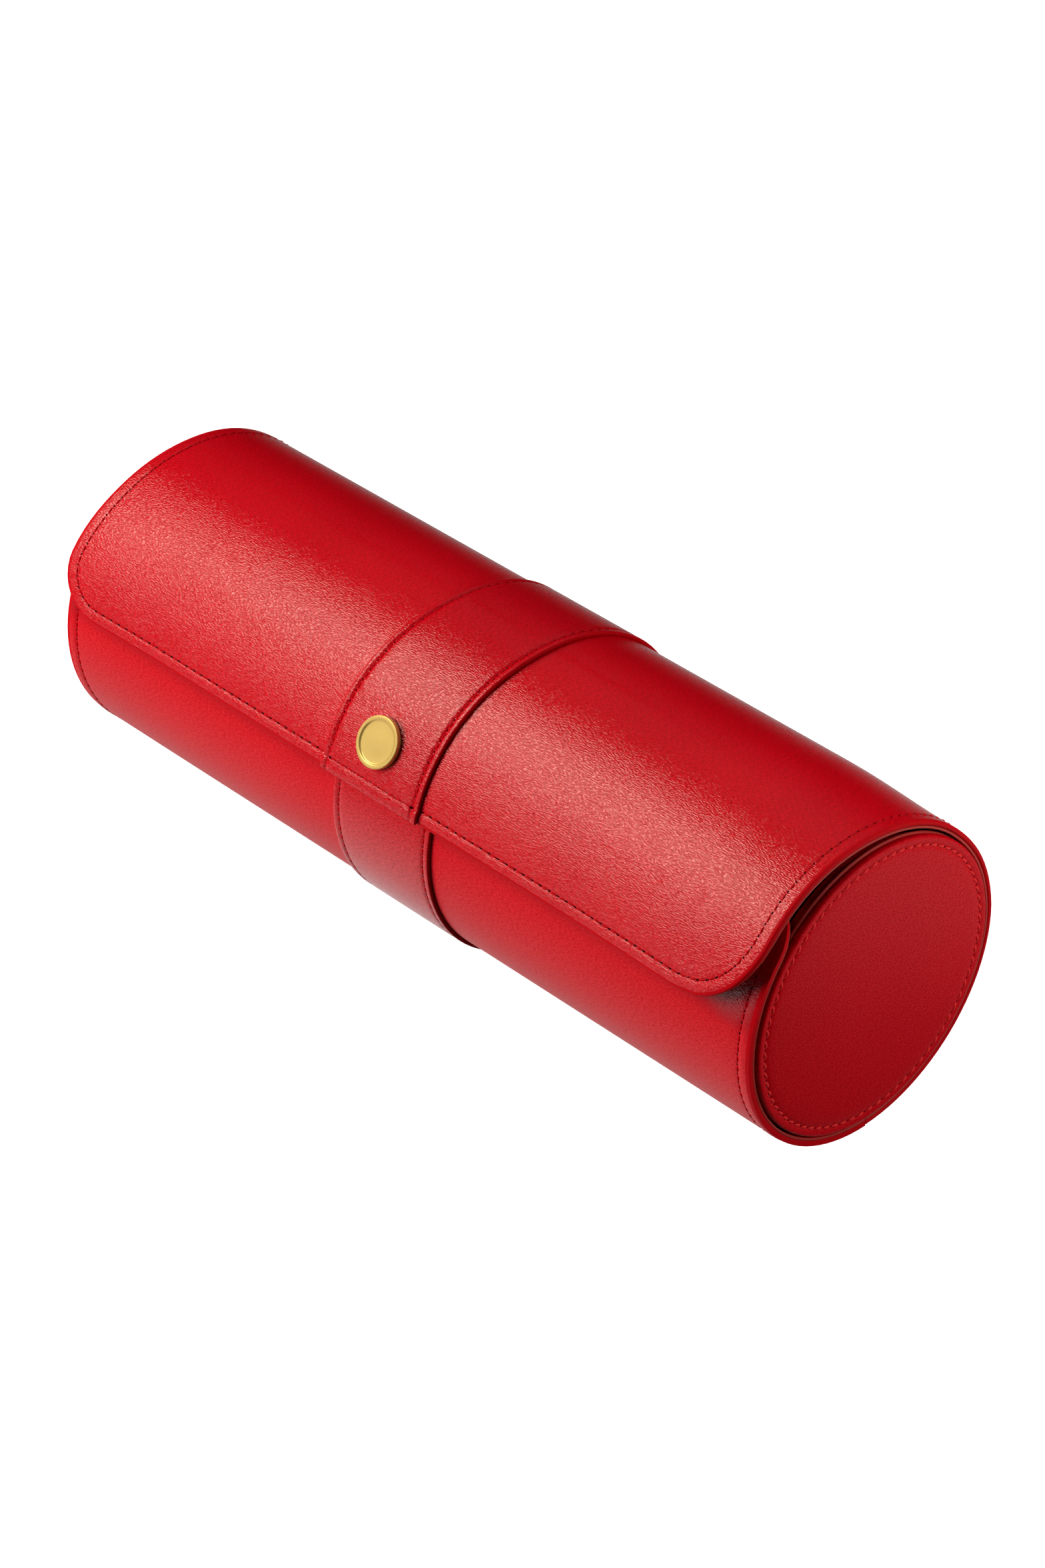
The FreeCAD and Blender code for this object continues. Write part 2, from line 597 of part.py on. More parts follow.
def oval_bar(name, shrink, length, start_x):
    """An oval bar along X: the pillow's section, made smaller by a thickness."""
    oval = doc.addObject("Part::Ellipse", name + "_oval")
    oval.setExpression("MajorRadius", "%s - %s" % (PILLOW_HALF_WIDTH, shrink))
    oval.setExpression("MinorRadius", "%s - %s" % (PILLOW_HALF_HEIGHT, shrink))
    bar = doc.addObject("Part::Extrusion", name)
    bar.Base = oval
    bar.DirMode = "Custom"
    bar.Dir = ALONG_Z
    bar.Solid = True
    bar.setExpression("LengthFwd", length)
    bar.Placement = FreeCAD.Placement(FreeCAD.Vector(), LENGTH_TO_X)
    place(bar, start_x, CASE_AXIS[0], PILLOW_HEIGHT)
    doc.recompute()
    return bar


for number, step in enumerate((-1, 0, 1), start=1):
    pillow = "pillow_%d" % number
    middle = "%d * %s" % (step, COMPARTMENT_PITCH)
    left_end = "%s - %s / 2" % (middle, PILLOW_LENGTH)
    core_left = "%s - %s / 2" % (middle, PILLOW_CORE)
    core_right = "%s + %s / 2" % (middle, PILLOW_CORE)
    sleeve_blank = oval_bar(pillow + "_sleeve_blank", WHOLE_OVAL, PILLOW_CORE, core_left)
    sleeve_hollow = oval_bar(pillow + "_sleeve_hollow", "Sizes.pillow_cover", PILLOW_CORE, core_left)
    finish(cut(pillow + "_sleeve", sleeve_blank, [sleeve_hollow]), pillow + "_sleeve")
    finish(oval_bar(pillow + "_foam", "Sizes.pillow_cover", PILLOW_CORE, core_left), pillow + "_foam")
    panels = [
        oval_bar("%s_panel_%d" % (pillow, index), WHOLE_OVAL, "Sizes.pillow_cover", start)
        for index, start in enumerate((left_end, core_right), start=1)
    ]
    finish(group(pillow + "_ends", panels), pillow + "_ends")

# Nothing is written unless every object is sound.
doc.recompute()
for item in doc.Objects:
    if "Invalid" in item.State or "Error" in item.State:
        raise ValueError("%s failed: %s" % (item.Name, item.State))
os.makedirs("parts", exist_ok=True)
for item in subparts:
    shape = item.Shape
    if shape.isNull() or not shape.isValid() or not shape.Solids:
        raise ValueError(item.Label + " has no sound solid")
    shape.exportStep("parts/%s.step" % item.Label)
print("%d sub-parts" % len(subparts))
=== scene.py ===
# %% [markdown]
# # A watch roll in red grained leather
# The roll is a short drum: a stiff leather wrap, two round ends, a flap that closes over the front,
# a leather band round the middle and three pillows inside. The CAD model gives every size and place,
# so each cell below dresses one piece of it: skin, band, stitches, ends, badge, lining, pillows.

# %% Loading the frame
import math
import bpy
import numpy as np
from mathutils import Matrix, Vector


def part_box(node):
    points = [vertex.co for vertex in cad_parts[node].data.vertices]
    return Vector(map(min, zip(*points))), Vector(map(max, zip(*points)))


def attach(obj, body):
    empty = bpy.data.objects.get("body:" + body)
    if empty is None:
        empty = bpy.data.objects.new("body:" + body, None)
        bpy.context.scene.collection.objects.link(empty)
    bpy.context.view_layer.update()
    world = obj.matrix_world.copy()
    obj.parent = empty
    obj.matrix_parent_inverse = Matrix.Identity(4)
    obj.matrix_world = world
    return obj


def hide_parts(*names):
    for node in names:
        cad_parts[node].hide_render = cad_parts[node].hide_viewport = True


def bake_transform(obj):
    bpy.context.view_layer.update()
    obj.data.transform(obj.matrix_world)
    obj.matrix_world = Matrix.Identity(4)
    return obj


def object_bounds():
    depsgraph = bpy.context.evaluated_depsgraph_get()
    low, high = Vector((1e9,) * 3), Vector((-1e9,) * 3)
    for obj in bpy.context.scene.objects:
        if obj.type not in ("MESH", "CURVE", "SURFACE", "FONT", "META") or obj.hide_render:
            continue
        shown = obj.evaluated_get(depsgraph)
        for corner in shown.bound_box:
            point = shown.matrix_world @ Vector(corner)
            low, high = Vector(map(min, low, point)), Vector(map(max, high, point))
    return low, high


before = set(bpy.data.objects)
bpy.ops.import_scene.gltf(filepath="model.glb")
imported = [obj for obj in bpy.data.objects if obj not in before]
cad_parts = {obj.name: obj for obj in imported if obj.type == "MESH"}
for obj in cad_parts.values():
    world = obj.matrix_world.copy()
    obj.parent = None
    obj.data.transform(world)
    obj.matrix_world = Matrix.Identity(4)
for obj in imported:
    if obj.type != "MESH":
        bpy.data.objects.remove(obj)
cad_low, cad_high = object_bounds()
MM = 0.001
print("CAD box in mm:", [round((b - a) / MM, 1) for a, b in zip(cad_low, cad_high)])

# %% [markdown]
# ## The roll's section
# Seen from the end, the wrap is a circle, and the flap is a slightly wider circle that sits a little
# forward, so that it lies over the front panel. Angles run from the back, over the top, to the front.
# The wrap is one sheet in the real thing, so one radius that widens slowly past the hinge is used.

# %% Sizes read from the frame
lower_low, lower_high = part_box("lower_leather")
flap_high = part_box("flap_leather")[1]
CASE_RADIUS = (lower_high[1] - lower_low[1]) / 2
AXIS_HEIGHT = lower_low[2] + CASE_RADIUS
HALF_LENGTH = lower_high[0]
FLAP_FORWARD = 1.8 * MM
FLAP_RAISE = 1.3 * MM
FLAP_RADIUS = flap_high[2] - AXIS_HEIGHT - FLAP_RAISE
FLAP_END = flap_high[0]
FLAP_INSET = HALF_LENGTH - FLAP_END
BOTTOM = math.radians(-90)
FLAP_EDGE = math.radians(165.0)
LIP_EDGE = math.radians(125.0)
print("wrap radius", round(CASE_RADIUS / MM, 2), "flap radius", round(FLAP_RADIUS / MM, 2))


def smooth(value, start, end):
    t = np.clip((value - start) / (end - start), 0, 1)
    return t * t * (3 - 2 * t)


def ease(turn, start, end):
    """Goes smoothly from 0 to 1 between two angles in degrees."""
    return smooth(turn, math.radians(start), math.radians(end))


def flap_circle(turn):
    along = FLAP_RAISE * np.sin(turn) - FLAP_FORWARD * np.cos(turn)
    return along + np.sqrt(FLAP_RADIUS**2 - FLAP_RAISE**2 - FLAP_FORWARD**2 + along**2)


def back_radius(turn):
    over = ease(turn, -8, 50)
    return CASE_RADIUS * (1 - over) + flap_circle(turn) * over


def front_radius(turn):
    return CASE_RADIUS + 0 * turn


# %% [markdown]
# ## From the flat cut to the roll
# A leather worker cuts each skin flat and then wraps it. The same is done here: a piece is laid out by
# x, along the roll, and by its run, the distance from the seam under the roll, and a table of arc
# lengths turns the run into an angle. The flap is lifted a little at its front corners, where nothing
# holds it. Over the top its right end is drawn in, and its left end slants towards the middle.

# %% Tables of arc length, and the lift of the flap's ends
ARC_STEPS = 1500


def arc_table(radius_of, first, last):
    turn = np.linspace(first, last, ARC_STEPS)
    y = radius_of(turn) * np.cos(turn)
    z = radius_of(turn) * np.sin(turn)
    run = np.concatenate([[0.0], np.cumsum(np.hypot(np.diff(y), np.diff(z)))])
    return turn, run


back_turn, back_run = arc_table(back_radius, BOTTOM, FLAP_EDGE)
front_turn, front_run = arc_table(front_radius, BOTTOM + 2 * math.pi, LIP_EDGE)
BACK_LENGTH = back_run[-1]
FRONT_LENGTH = front_run[-1]
RIGHT_LIFT = 1.5 * MM
RIGHT_LIFT_FROM = 55 * MM
LEFT_LIFT = 1.0 * MM
LEFT_LIFT_FROM = 80 * MM
END_PULL = 1.3 * MM
END_PULL_FROM = 85 * MM
SIDE_DRIFT = 3.0 * MM
SIDE_DRIFT_FROM = -20 * MM


def flap_lift(x, turn):
    right = smooth(x, RIGHT_LIFT_FROM, FLAP_END) * ease(turn, 62, 135)
    left = smooth(-x, LEFT_LIFT_FROM, FLAP_END) * ease(turn, 118, 150)
    drawn = smooth(x, END_PULL_FROM, FLAP_END) * ease(turn, 15, 50) * ease(turn, 135, 85)
    return RIGHT_LIFT * right + LEFT_LIFT * left - END_PULL * drawn


def flap_drift(x, turn):
    up = ease(turn, 155, 85) * ease(turn, 10, 60)
    return SIDE_DRIFT * up * smooth(-x, SIDE_DRIFT_FROM, FLAP_END)


def place_back(x, run, height):
    turn = np.interp(run, back_run, back_turn) + np.minimum(run, 0) / CASE_RADIUS
    on_flap = ease(turn, 0, 25)
    lifted = back_radius(turn) + height + flap_lift(x, turn)
    across = x * (1 - on_flap * FLAP_INSET / HALF_LENGTH) + flap_drift(x, turn)
    return np.stack([across, lifted * np.cos(turn), AXIS_HEIGHT + lifted * np.sin(turn)], axis=-1)


def place_front(x, run, height):
    turn = np.interp(run, front_run, front_turn) - np.minimum(run, 0) / CASE_RADIUS
    radius = front_radius(turn) + height
    return np.stack([x + 0 * turn, radius * np.cos(turn), AXIS_HEIGHT + radius * np.sin(turn)], axis=-1)


print("back skin", round(BACK_LENGTH / MM, 1), "mm, front skin", round(FRONT_LENGTH / MM, 1), "mm")

# %% [markdown]
# ## Finishes
# Each finish is built from nodes, with one function that adds a node and one that turns an sRGB hex
# colour to the linear one that shaders use. Two more make the nodes that come back most often: a ramp
# from one range of values to another, and a mix of two dyes. Leather patterns read the UV map, which
# holds the flat cut in metres, so the grain runs the same way round the roll as it does in the hide.

# %% Colour and node helpers
def tint(code):
    parts = [int(code[i:i + 2], 16) / 255 for i in (1, 3, 5)]
    return [p / 12.92 if p <= 0.04045 else ((p + 0.055) / 1.055) ** 2.4 for p in parts] + [1.0]


def add_node(material, kind, settings=None, feeds=None):
    node = material.node_tree.nodes.new(kind)
    for key, value in (settings or {}).items():
        setattr(node, key, value)
    for key, value in (feeds or {}).items():
        if isinstance(value, bpy.types.NodeSocket):
            material.node_tree.links.new(value, node.inputs[key])
        else:
            node.inputs[key].default_value = value
    return node


def new_finish(name, roughness, ior=1.5, metallic=0.0):
    material = bpy.data.materials.new(name)
    material.use_nodes = True
    shader = material.node_tree.nodes["Principled BSDF"]
    shader.inputs["Roughness"].default_value = roughness
    shader.inputs["Metallic"].default_value = metallic
    if metallic < 1:
        shader.inputs["IOR"].default_value = ior
    return material, shader


def ramp(material, value, low, high, start=0.0, end=1.0, curve="LINEAR"):
    """Turns a value between start and end into one between low and high."""
    node = add_node(material, "ShaderNodeMapRange", {"interpolation_type": curve},
                    {"Value": value, "From Min": start, "From Max": end, "To Min": low, "To Max": high})
    return node.outputs[0]


def mix_dye(material, share, first, second):
    node = add_node(material, "ShaderNodeMix", {"data_type": "RGBA"}, {"Factor": share, 6: first, 7: second})
    return node.outputs[2]


def wire(material, node, sockets):
    for key, value in sockets.items():
        material.node_tree.links.new(value, node.inputs[key])


print("sample dye, linear:", [round(part, 3) for part in tint("#d60013")])

# %% [markdown]
# Grained calf leather: the hide is dyed through, pressed with a fine wavy grain and given a thin satin
# finish. The eye sees a deep red, a little darker in the creases, and a soft sheen that the grain breaks
# up, because the ridges are polished and the creases are not. The darker creases are painted shade,
# drawn into the colour. The grain is rows of small rounded wrinkles that run along the roll. A noise
# that is stretched along x gives them, with a scale that makes one wrinkle out of two of its cells.

# %% Grain
WRINKLE_PITCH = 0.52
WRINKLE_LENGTH = 1.7
CELLS_PER_WRINKLE = 2


def lay_grain(material, flat, turned):
    """The pressed grain, 0 in a crease and 1 on a ridge."""
    laid = add_node(material, "ShaderNodeMapping", None, {"Vector": flat, "Rotation": (0, 0, turned)})
    scale = (CELLS_PER_WRINKLE / (WRINKLE_LENGTH * MM), CELLS_PER_WRINKLE / (WRINKLE_PITCH * MM), 1)
    laid = add_node(material, "ShaderNodeMapping", None, {"Vector": laid.outputs[0], "Scale": scale})
    wrinkle = add_node(material, "ShaderNodeTexNoise", {"noise_dimensions": "2D"},
                       {"Vector": laid.outputs[0], "Scale": 1.0, "Detail": 0.0, "Distortion": 0.3})
    return ramp(material, wrinkle.outputs[0], 0, 1, 0.25, 0.75)


def oval_patch(material, flat, place, size):
    """An oval that is 1 in its middle and fades to 0 at its edge."""
    off = add_node(material, "ShaderNodeVectorMath", {"operation": "SUBTRACT"}, {0: flat, 1: place})
    off = add_node(material, "ShaderNodeVectorMath", {"operation": "DIVIDE"}, {0: off.outputs[0], 1: size})
    far = add_node(material, "ShaderNodeVectorMath", {"operation": "LENGTH"}, {0: off.outputs[0]})
    return ramp(material, far.outputs["Value"], 0, 1, 1.0, 0.3, "SMOOTHSTEP")


print("grain: wrinkles", WRINKLE_PITCH, "mm apart and", WRINKLE_LENGTH, "mm long")

# %% [markdown]
# Four leathers share one recipe. On the flap and the band the grain is stretched flat over the top and
# fuller towards the front edge, so its relief grows along the run. The front panel is more matt. Below
# the flap's right corner an oval patch is drawn darker, as painted shade, and smoother and shinier with a
# deeper grain, and along the flap's edge, where the soft light of this scene throws too little shade, the
# shade is painted into its dye. Places on the cut are in metres, as the UV map holds them, and depths and
# the size of the clouds in the dye in millimetres.

# %% Leather
VALLEY_GLOSS = 0.6
RIDGE_GLOSS = 1.4
CLOUD_SIZE = 35
CLOUD_SHARE = 0.3
CREASE_SHARE = 0.8
FULL_RELIEF = 2.1
FULL_GRAIN = (0.130, 0.165)
# painted shade on the front panel at the flap's edge: the run over which it fades in, and its colour
PAINTED_SHADE_RUN = (0.0675, 0.0735)
PAINTED_SHADE_COLOUR = "#a80010"
# the oval patch below the flap's right corner: its darker colour is painted shade, and it is also smoother,
# shinier and deeper in grain
CORNER_PATCH_PLACE = (0.109, 0.0780, 0)
CORNER_PATCH_SIZE = (0.011, 0.009, 1)
CORNER_PAINTED_SHADE = "#a00414"
CORNER_PATCH_ROUGHNESS = 0.17
CORNER_PATCH_RELIEF = 2.2
CORNER_PATCH_GLOSS = 0.6


def make_leather(name, high, low, roughness, depth, shine, turned=0.0, fuller=None, painted_shade=None, corner_patch=None):
    material, shader = new_finish(name, roughness)
    shader.inputs["Specular IOR Level"].default_value = shine
    flat = add_node(material, "ShaderNodeTexCoord").outputs["UV"]
    run = add_node(material, "ShaderNodeSeparateXYZ", None, {0: flat}).outputs["Y"]
    crease = lay_grain(material, flat, turned)
    cloud = add_node(material, "ShaderNodeTexNoise", {"noise_dimensions": "2D"},
                     {"Vector": flat, "Scale": 1000 / CLOUD_SIZE, "Detail": 2.0})
    cloud = add_node(material, "ShaderNodeMath", {"operation": "MULTIPLY"},
                     {0: cloud.outputs[0], 1: CLOUD_SHARE})
    # painted shade: the creases darken the colour; the clouds mixed in are the hide's own uneven tone
    shade = add_node(material, "ShaderNodeMath", {"operation": "MULTIPLY_ADD", "use_clamp": True},
                     {0: crease, 1: CREASE_SHARE, 2: cloud.outputs[0]})
    colour = mix_dye(material, shade.outputs[0], tint(low), tint(high))
    gloss = ramp(material, crease, VALLEY_GLOSS * shine, RIDGE_GLOSS * shine)
    relief = add_node(material, "ShaderNodeBump", None,
                      {"Height": crease, "Strength": 1.0, "Distance": depth * MM})
    if fuller:
        swell = ramp(material, run, depth * MM, FULL_RELIEF * depth * MM, *fuller, "SMOOTHSTEP")
        wire(material, relief, {"Distance": swell})
    # painted shade: the colour darkens over a few millimetres below the flap's edge and stays dark under it
    if painted_shade:
        colour = mix_dye(material, ramp(material, run, 0, 1, *painted_shade, "SMOOTHSTEP"), colour, tint(PAINTED_SHADE_COLOUR))
    # the patch below the flap's right corner: painted shade in the colour, with lower roughness, more shine
    # and a deeper grain
    if corner_patch:
        corner_shade_and_gloss = oval_patch(material, flat, *corner_patch)
        colour = mix_dye(material, corner_shade_and_gloss, colour, tint(CORNER_PAINTED_SHADE))
        gloss = ramp(material, corner_shade_and_gloss, gloss, CORNER_PATCH_GLOSS)
        wire(material, relief, {"Distance": ramp(material, corner_shade_and_gloss, depth * MM, CORNER_PATCH_RELIEF * depth * MM)})
        wire(material, shader, {"Roughness": ramp(material, corner_shade_and_gloss, roughness, CORNER_PATCH_ROUGHNESS)})
    wire(material, shader, {"Specular IOR Level": gloss, "Base Color": colour, "Normal": relief.outputs[0]})
    return material


flap_leather = make_leather("grained_calf_leather_red", "#d60013", "#a8000b", 0.21, 0.030, 0.42,
                            fuller=FULL_GRAIN)
band_leather = make_leather("grained_band_leather_red", "#d00013", "#a0000a", 0.21, 0.030, 0.42,
                            fuller=FULL_GRAIN)
panel_leather = make_leather("satin_calf_leather_red", "#d40013", "#b8000e", 0.45, 0.030, 0.2,
                             painted_shade=PAINTED_SHADE_RUN, corner_patch=(CORNER_PATCH_PLACE, CORNER_PATCH_SIZE))
end_leather = make_leather("grained_end_leather_red", "#ce0012", "#b2000d", 0.45, 0.026, 0.1,
                           turned=math.radians(45))
print("leathers:", flap_leather.name, panel_leather.name, band_leather.name, end_leather.name)

# %% [markdown]
# Edge paint is a thick acrylic colour that closes a cut leather edge: smooth, rather matt and very
# slightly uneven. Behind it the stiffener's edge and the end walls' rims get a browner, lighter red that
# is painted highlight along the inner corner of the cut edge and along the rims. The thread is bonded
# polyester of nearly the same red; on the end discs a lighter copy of it is painted highlight. The needle
# holes between two stitches are dark dots of painted shade. Microsuede lining has a short nap, so it is
# matt with a soft sheen. The badge is gilt brass, brushed one way, and the hidden hardware is plated
# steel. One recipe makes them all: a fine noise that varies the colour, the roughness and a shallow relief.

# %% Paint, thread, suede and metals
ROUGHNESS_SPREAD = 0.06


def make_mottled(name, high, low, roughness, grit, depth, metallic=0.0, ior=1.5, stretch=(1, 1, 1)):
    material, shader = new_finish(name, roughness, ior, metallic)
    where = add_node(material, "ShaderNodeTexCoord").outputs["Object"]
    laid = add_node(material, "ShaderNodeMapping", None, {"Vector": where, "Scale": stretch})
    noise = add_node(material, "ShaderNodeTexNoise", None,
                     {"Vector": laid.outputs[0], "Scale": 1000 / grit, "Detail": 3.0, "Roughness": 0.6})
    grains = noise.outputs[0]
    relief = add_node(material, "ShaderNodeBump", None,
                      {"Height": grains, "Strength": 1.0, "Distance": depth * MM})
    wire(material, shader, {
        "Base Color": mix_dye(material, grains, tint(low), tint(high)),
        "Roughness": ramp(material, grains, roughness - ROUGHNESS_SPREAD, roughness + ROUGHNESS_SPREAD),
        "Normal": relief.outputs[0]})
    return material


edge_paint = make_mottled("acrylic_edge_paint_red", "#c4020f", "#ae010c", 0.60, 3.0, 0.05, ior=1.15)
highlight_edge_paint = make_mottled("painted_highlight_edge_brown_red", "#b4342c", "#9a2620", 0.50, 3.0, 0.05, ior=1.35)
thread = make_mottled("bonded_polyester_thread_red", "#c00410", "#a8020c", 0.75, 0.5, 0.04, ior=1.2)
# painted highlight: a lighter copy of the same thread, sewn on the end discs
highlight_thread = make_mottled("bonded_polyester_thread_painted_highlight_red", "#ee1c18", "#d00e10", 0.6, 0.5, 0.04)
# painted shade: the needle holes are small dimples in this near-black red
needle_hole = make_mottled("needle_hole_shadow", "#3c0306", "#2a0205", 1.0, 0.5, 0.02, ior=1.1)
lining_suede = make_mottled("microsuede_lining_red", "#861318", "#680c10", 0.92, 0.7, 0.10)
pillow_suede = make_mottled("microsuede_pillow_red", "#951a1f", "#761015", 0.92, 0.8, 0.12)
gilt_brass = make_mottled("gilt_brass", "#f6d27c", "#e8bd5e", 0.32, 0.6, 0.006, 0.6, stretch=(1, 8, 8))
nickel_steel = make_mottled("nickel_plated_steel", "#c9c6c0", "#a9a6a1", 0.3, 0.8, 0.004, 1.0)
for suede in (lining_suede, pillow_suede):
    nap = suede.node_tree.nodes["Principled BSDF"]
    nap.inputs["Specular IOR Level"].default_value = 0.1
    nap.inputs["Sheen Tint"].default_value = tint("#c8343a")
    nap.inputs["Sheen Weight"].default_value = 0.35
    nap.inputs["Sheen Roughness"].default_value = 0.45
print("finishes:", len(bpy.data.materials))

# %% [markdown]
# ## The sewn rim
# Sewing pulls the leather down along the thread, 3.6 mm in from the edge, and the folded rim outside
# the thread stands a little higher before it rolls over into the painted edge. The heights below are
# read across that rim in millimetres, as distance from the edge and height. The rim stands highest
# along the flap's front edge, less on the lip and least along the roll's ends.

# %% Rim heights
RIM = [(0, -0.08), (1.05, 0.10), (1.5, 0.15), (1.9, 0.16), (2.3, 0.15), (2.7, 0.11), (3.0, 0.02),
       (3.25, -0.09), (3.45, -0.16), (3.6, -0.18), (3.75, -0.16), (3.95, -0.11), (4.3, -0.05), (5.0, -0.01),
       (6.5, 0.0)]
STITCH_IN = 3.6
STITCH_PITCH = 2.8
PAINTED = 1.05
PAINT_SLACK = 0.01
SIDE_SHARE = 0.2
LIP_SHARE = 0.7
TURN_OF_RIM = 4 * MM
TUCK = 3.0
TUCK_SLOPE = 0.25
TUCK_TAPER = 12


def rim_height(distance, share=1.0):
    places, heights = zip(*RIM)
    return share * MM * np.interp(distance / MM, places, heights)


def flap_rim_share(side_gap, front_gap):
    """1 along the flap's front edge and 0 along the ends."""
    return smooth(side_gap - front_gap, -TURN_OF_RIM, TURN_OF_RIM)


def flap_rim_height(gap, front_share):
    return rim_height(gap, SIDE_SHARE + (1 - SIDE_SHARE) * front_share)


def tuck(run):
    """At the seam under the roll each skin runs on below the other one."""
    return TUCK_SLOPE * np.minimum(run, 0)


def narrow(x, run):
    return x * (1 + TUCK_TAPER * np.minimum(run, 0))


def paint_rim(piece, gap):
    """Gives the faces of the outermost row of the sheet the edge paint."""
    corners = [f.vertices for f in piece.data.polygons]
    outer = [int(max(gap[i] for i in c) < (PAINTED + PAINT_SLACK) * MM) for c in corners]
    piece.data.polygons.foreach_set("material_index", outer)


print("thread lies", round(-rim_height(STITCH_IN * MM) / MM, 2), "mm deep along the front edge")

# %% [markdown]
# ## A skin from a flat grid
# A grid primitive is the cut sheet. Its lines are moved so that they lie close together near the edges,
# where the sewn rim is, and the two free corners are rounded by pulling each square of grid to a
# quarter disc, which keeps every line at the same distance from the edge. Then the sheet is laid on the
# roll, given its thickness by Solidify, and its rims are rounded by Bevel.

# %% Cutting a flat sheet
EDGE_LINES = [place for place, height in RIM] + [9.0, 11.5]
CORNER_ROOM = 0.5


def edge_lines(corner):
    return [d for d in EDGE_LINES if d < corner - CORNER_ROOM] + [corner]


def grid_lines(low, high, low_lines, high_lines, step):
    first = [low + d * MM for d in low_lines]
    last = [high - d * MM for d in high_lines][::-1]
    count = max(2, round((last[0] - first[-1]) / (step * MM)))
    middle = np.linspace(first[-1], last[0], count + 1)[1:-1]
    return np.concatenate([first, middle, last])


def flat_grid(name, across, along):
    bpy.ops.object.select_all(action="DESELECT")
    bpy.ops.mesh.primitive_grid_add(x_subdivisions=len(across) - 1, y_subdivisions=len(along) - 1, size=2)
    sheet = bpy.context.object
    sheet.name = name
    spots = np.empty(len(sheet.data.vertices) * 3)
    sheet.data.vertices.foreach_get("co", spots)
    spots = spots.reshape(-1, 3)
    column = np.rint((spots[:, 0] + 1) / 2 * (len(across) - 1)).astype(int)
    row = np.rint((spots[:, 1] + 1) / 2 * (len(along) - 1)).astype(int)
    return sheet, across[column], along[row]


def round_corner(x, run, end_x, end_run, corner):
    """Pulls the square of grid at a free corner to a quarter disc."""
    side = np.sign(end_x)
    p = np.clip((side * x - (side * end_x - corner)) / corner, 0, 1)
    q = np.clip((run - (end_run - corner)) / corner, 0, 1)
    inside = (p > 0) & (q > 0)
    most = np.maximum(p, q)
    least = np.minimum(p, q)
    sweep = math.pi / 4 * least / np.where(most > 0, most, 1)
    sweep = np.where(p >= q, sweep, math.pi / 2 - sweep)
    x_round = side * (side * end_x - corner + corner * most * np.cos(sweep))
    run_round = end_run - corner + corner * most * np.sin(sweep)
    return np.where(inside, x_round, x), np.where(inside, run_round, run)


print("lines near an edge:", len(EDGE_LINES))


# %% Laying and thickening a sheet
def finish_mesh(piece, spots, flat_x, flat_run):
    piece.data.vertices.foreach_set("co", spots.reshape(-1))
    cut = np.stack([flat_x, flat_run], axis=-1)
    corners = np.empty(len(piece.data.loops), dtype=np.int32)
    piece.data.loops.foreach_get("vertex_index", corners)
    piece.data.uv_layers.active.data.foreach_set("uv", cut[corners].reshape(-1))
    piece.data.update()


def face_outwards(piece, inner_point):
    """Turns the sheet over if its faces look towards the roll's axis."""
    face = piece.data.polygons[len(piece.data.polygons) // 2]
    if face.normal.dot(face.center - inner_point) < 0:
        piece.data.flip_normals()


def apply_modifiers(piece):
    bpy.ops.object.select_all(action="DESELECT")
    piece.select_set(True)
    bpy.context.view_layer.objects.active = piece
    for modifier in list(piece.modifiers):
        bpy.ops.object.modifier_apply(modifier=modifier.name)


SHARP_RIM = math.radians(50)
SHARP_SHADING = math.radians(45)


def thicken(piece, thickness, rounding, rim_material=1, steps=3):
    shell = piece.modifiers.new("thickness", "SOLIDIFY")
    shell.thickness = thickness * MM
    shell.offset = -1
    shell.use_even_offset = True
    shell.material_offset_rim = rim_material
    soft = piece.modifiers.new("rounding", "BEVEL")
    soft.width = rounding * MM
    soft.segments = steps
    soft.material = rim_material
    soft.limit_method = "ANGLE"
    soft.angle_limit = SHARP_RIM
    apply_modifiers(piece)
    bpy.ops.object.shade_smooth_by_angle(angle=SHARP_SHADING)


def dress(piece, *materials):
    piece.data.materials.clear()
    for material in materials:
        piece.data.materials.append(material)


print("sheet tools ready, rims sharper than", round(math.degrees(SHARP_RIM)), "degrees are rounded")

# %% [markdown]
# ## Back skin and flap
# One piece of leather starts under the roll, goes up the back and becomes the flap.

# %% Back skin
FLAP_CORNER_LEFT = 14.0
FLAP_CORNER_RIGHT = 20.0
MIDDLE_CORNER = (FLAP_CORNER_LEFT + FLAP_CORNER_RIGHT) / 2
SKIN_THICKNESS = 2.0
LEATHER_THICKNESS = 1.3
LEATHER_ROUNDING = 0.55
SKIN_STEP_X = 4.0
SKIN_STEP_RUN = 2.6
SEAM_LINES = [0, 1.2, TUCK]

back_across = grid_lines(-HALF_LENGTH, HALF_LENGTH, edge_lines(FLAP_CORNER_LEFT),
                         edge_lines(FLAP_CORNER_RIGHT), SKIN_STEP_X)
back_along = grid_lines(-TUCK * MM, BACK_LENGTH, SEAM_LINES,
                        edge_lines(FLAP_CORNER_LEFT) + [MIDDLE_CORNER, FLAP_CORNER_RIGHT],
                        SKIN_STEP_RUN)
skin_back, flat_x, flat_run = flat_grid("skin_back", back_across, back_along)
side_gap = HALF_LENGTH - np.abs(flat_x)
front_gap = BACK_LENGTH - flat_run
rim_gap = np.minimum(side_gap, front_gap)
back_height = flap_rim_height(rim_gap, flap_rim_share(side_gap, front_gap)) + tuck(flat_run)
flat_x, flat_run = round_corner(flat_x, flat_run, -HALF_LENGTH, BACK_LENGTH, FLAP_CORNER_LEFT * MM)
flat_x, flat_run = round_corner(flat_x, flat_run, HALF_LENGTH, BACK_LENGTH, FLAP_CORNER_RIGHT * MM)
finish_mesh(skin_back, place_back(narrow(flat_x, flat_run), flat_run, back_height), flat_x, flat_run)
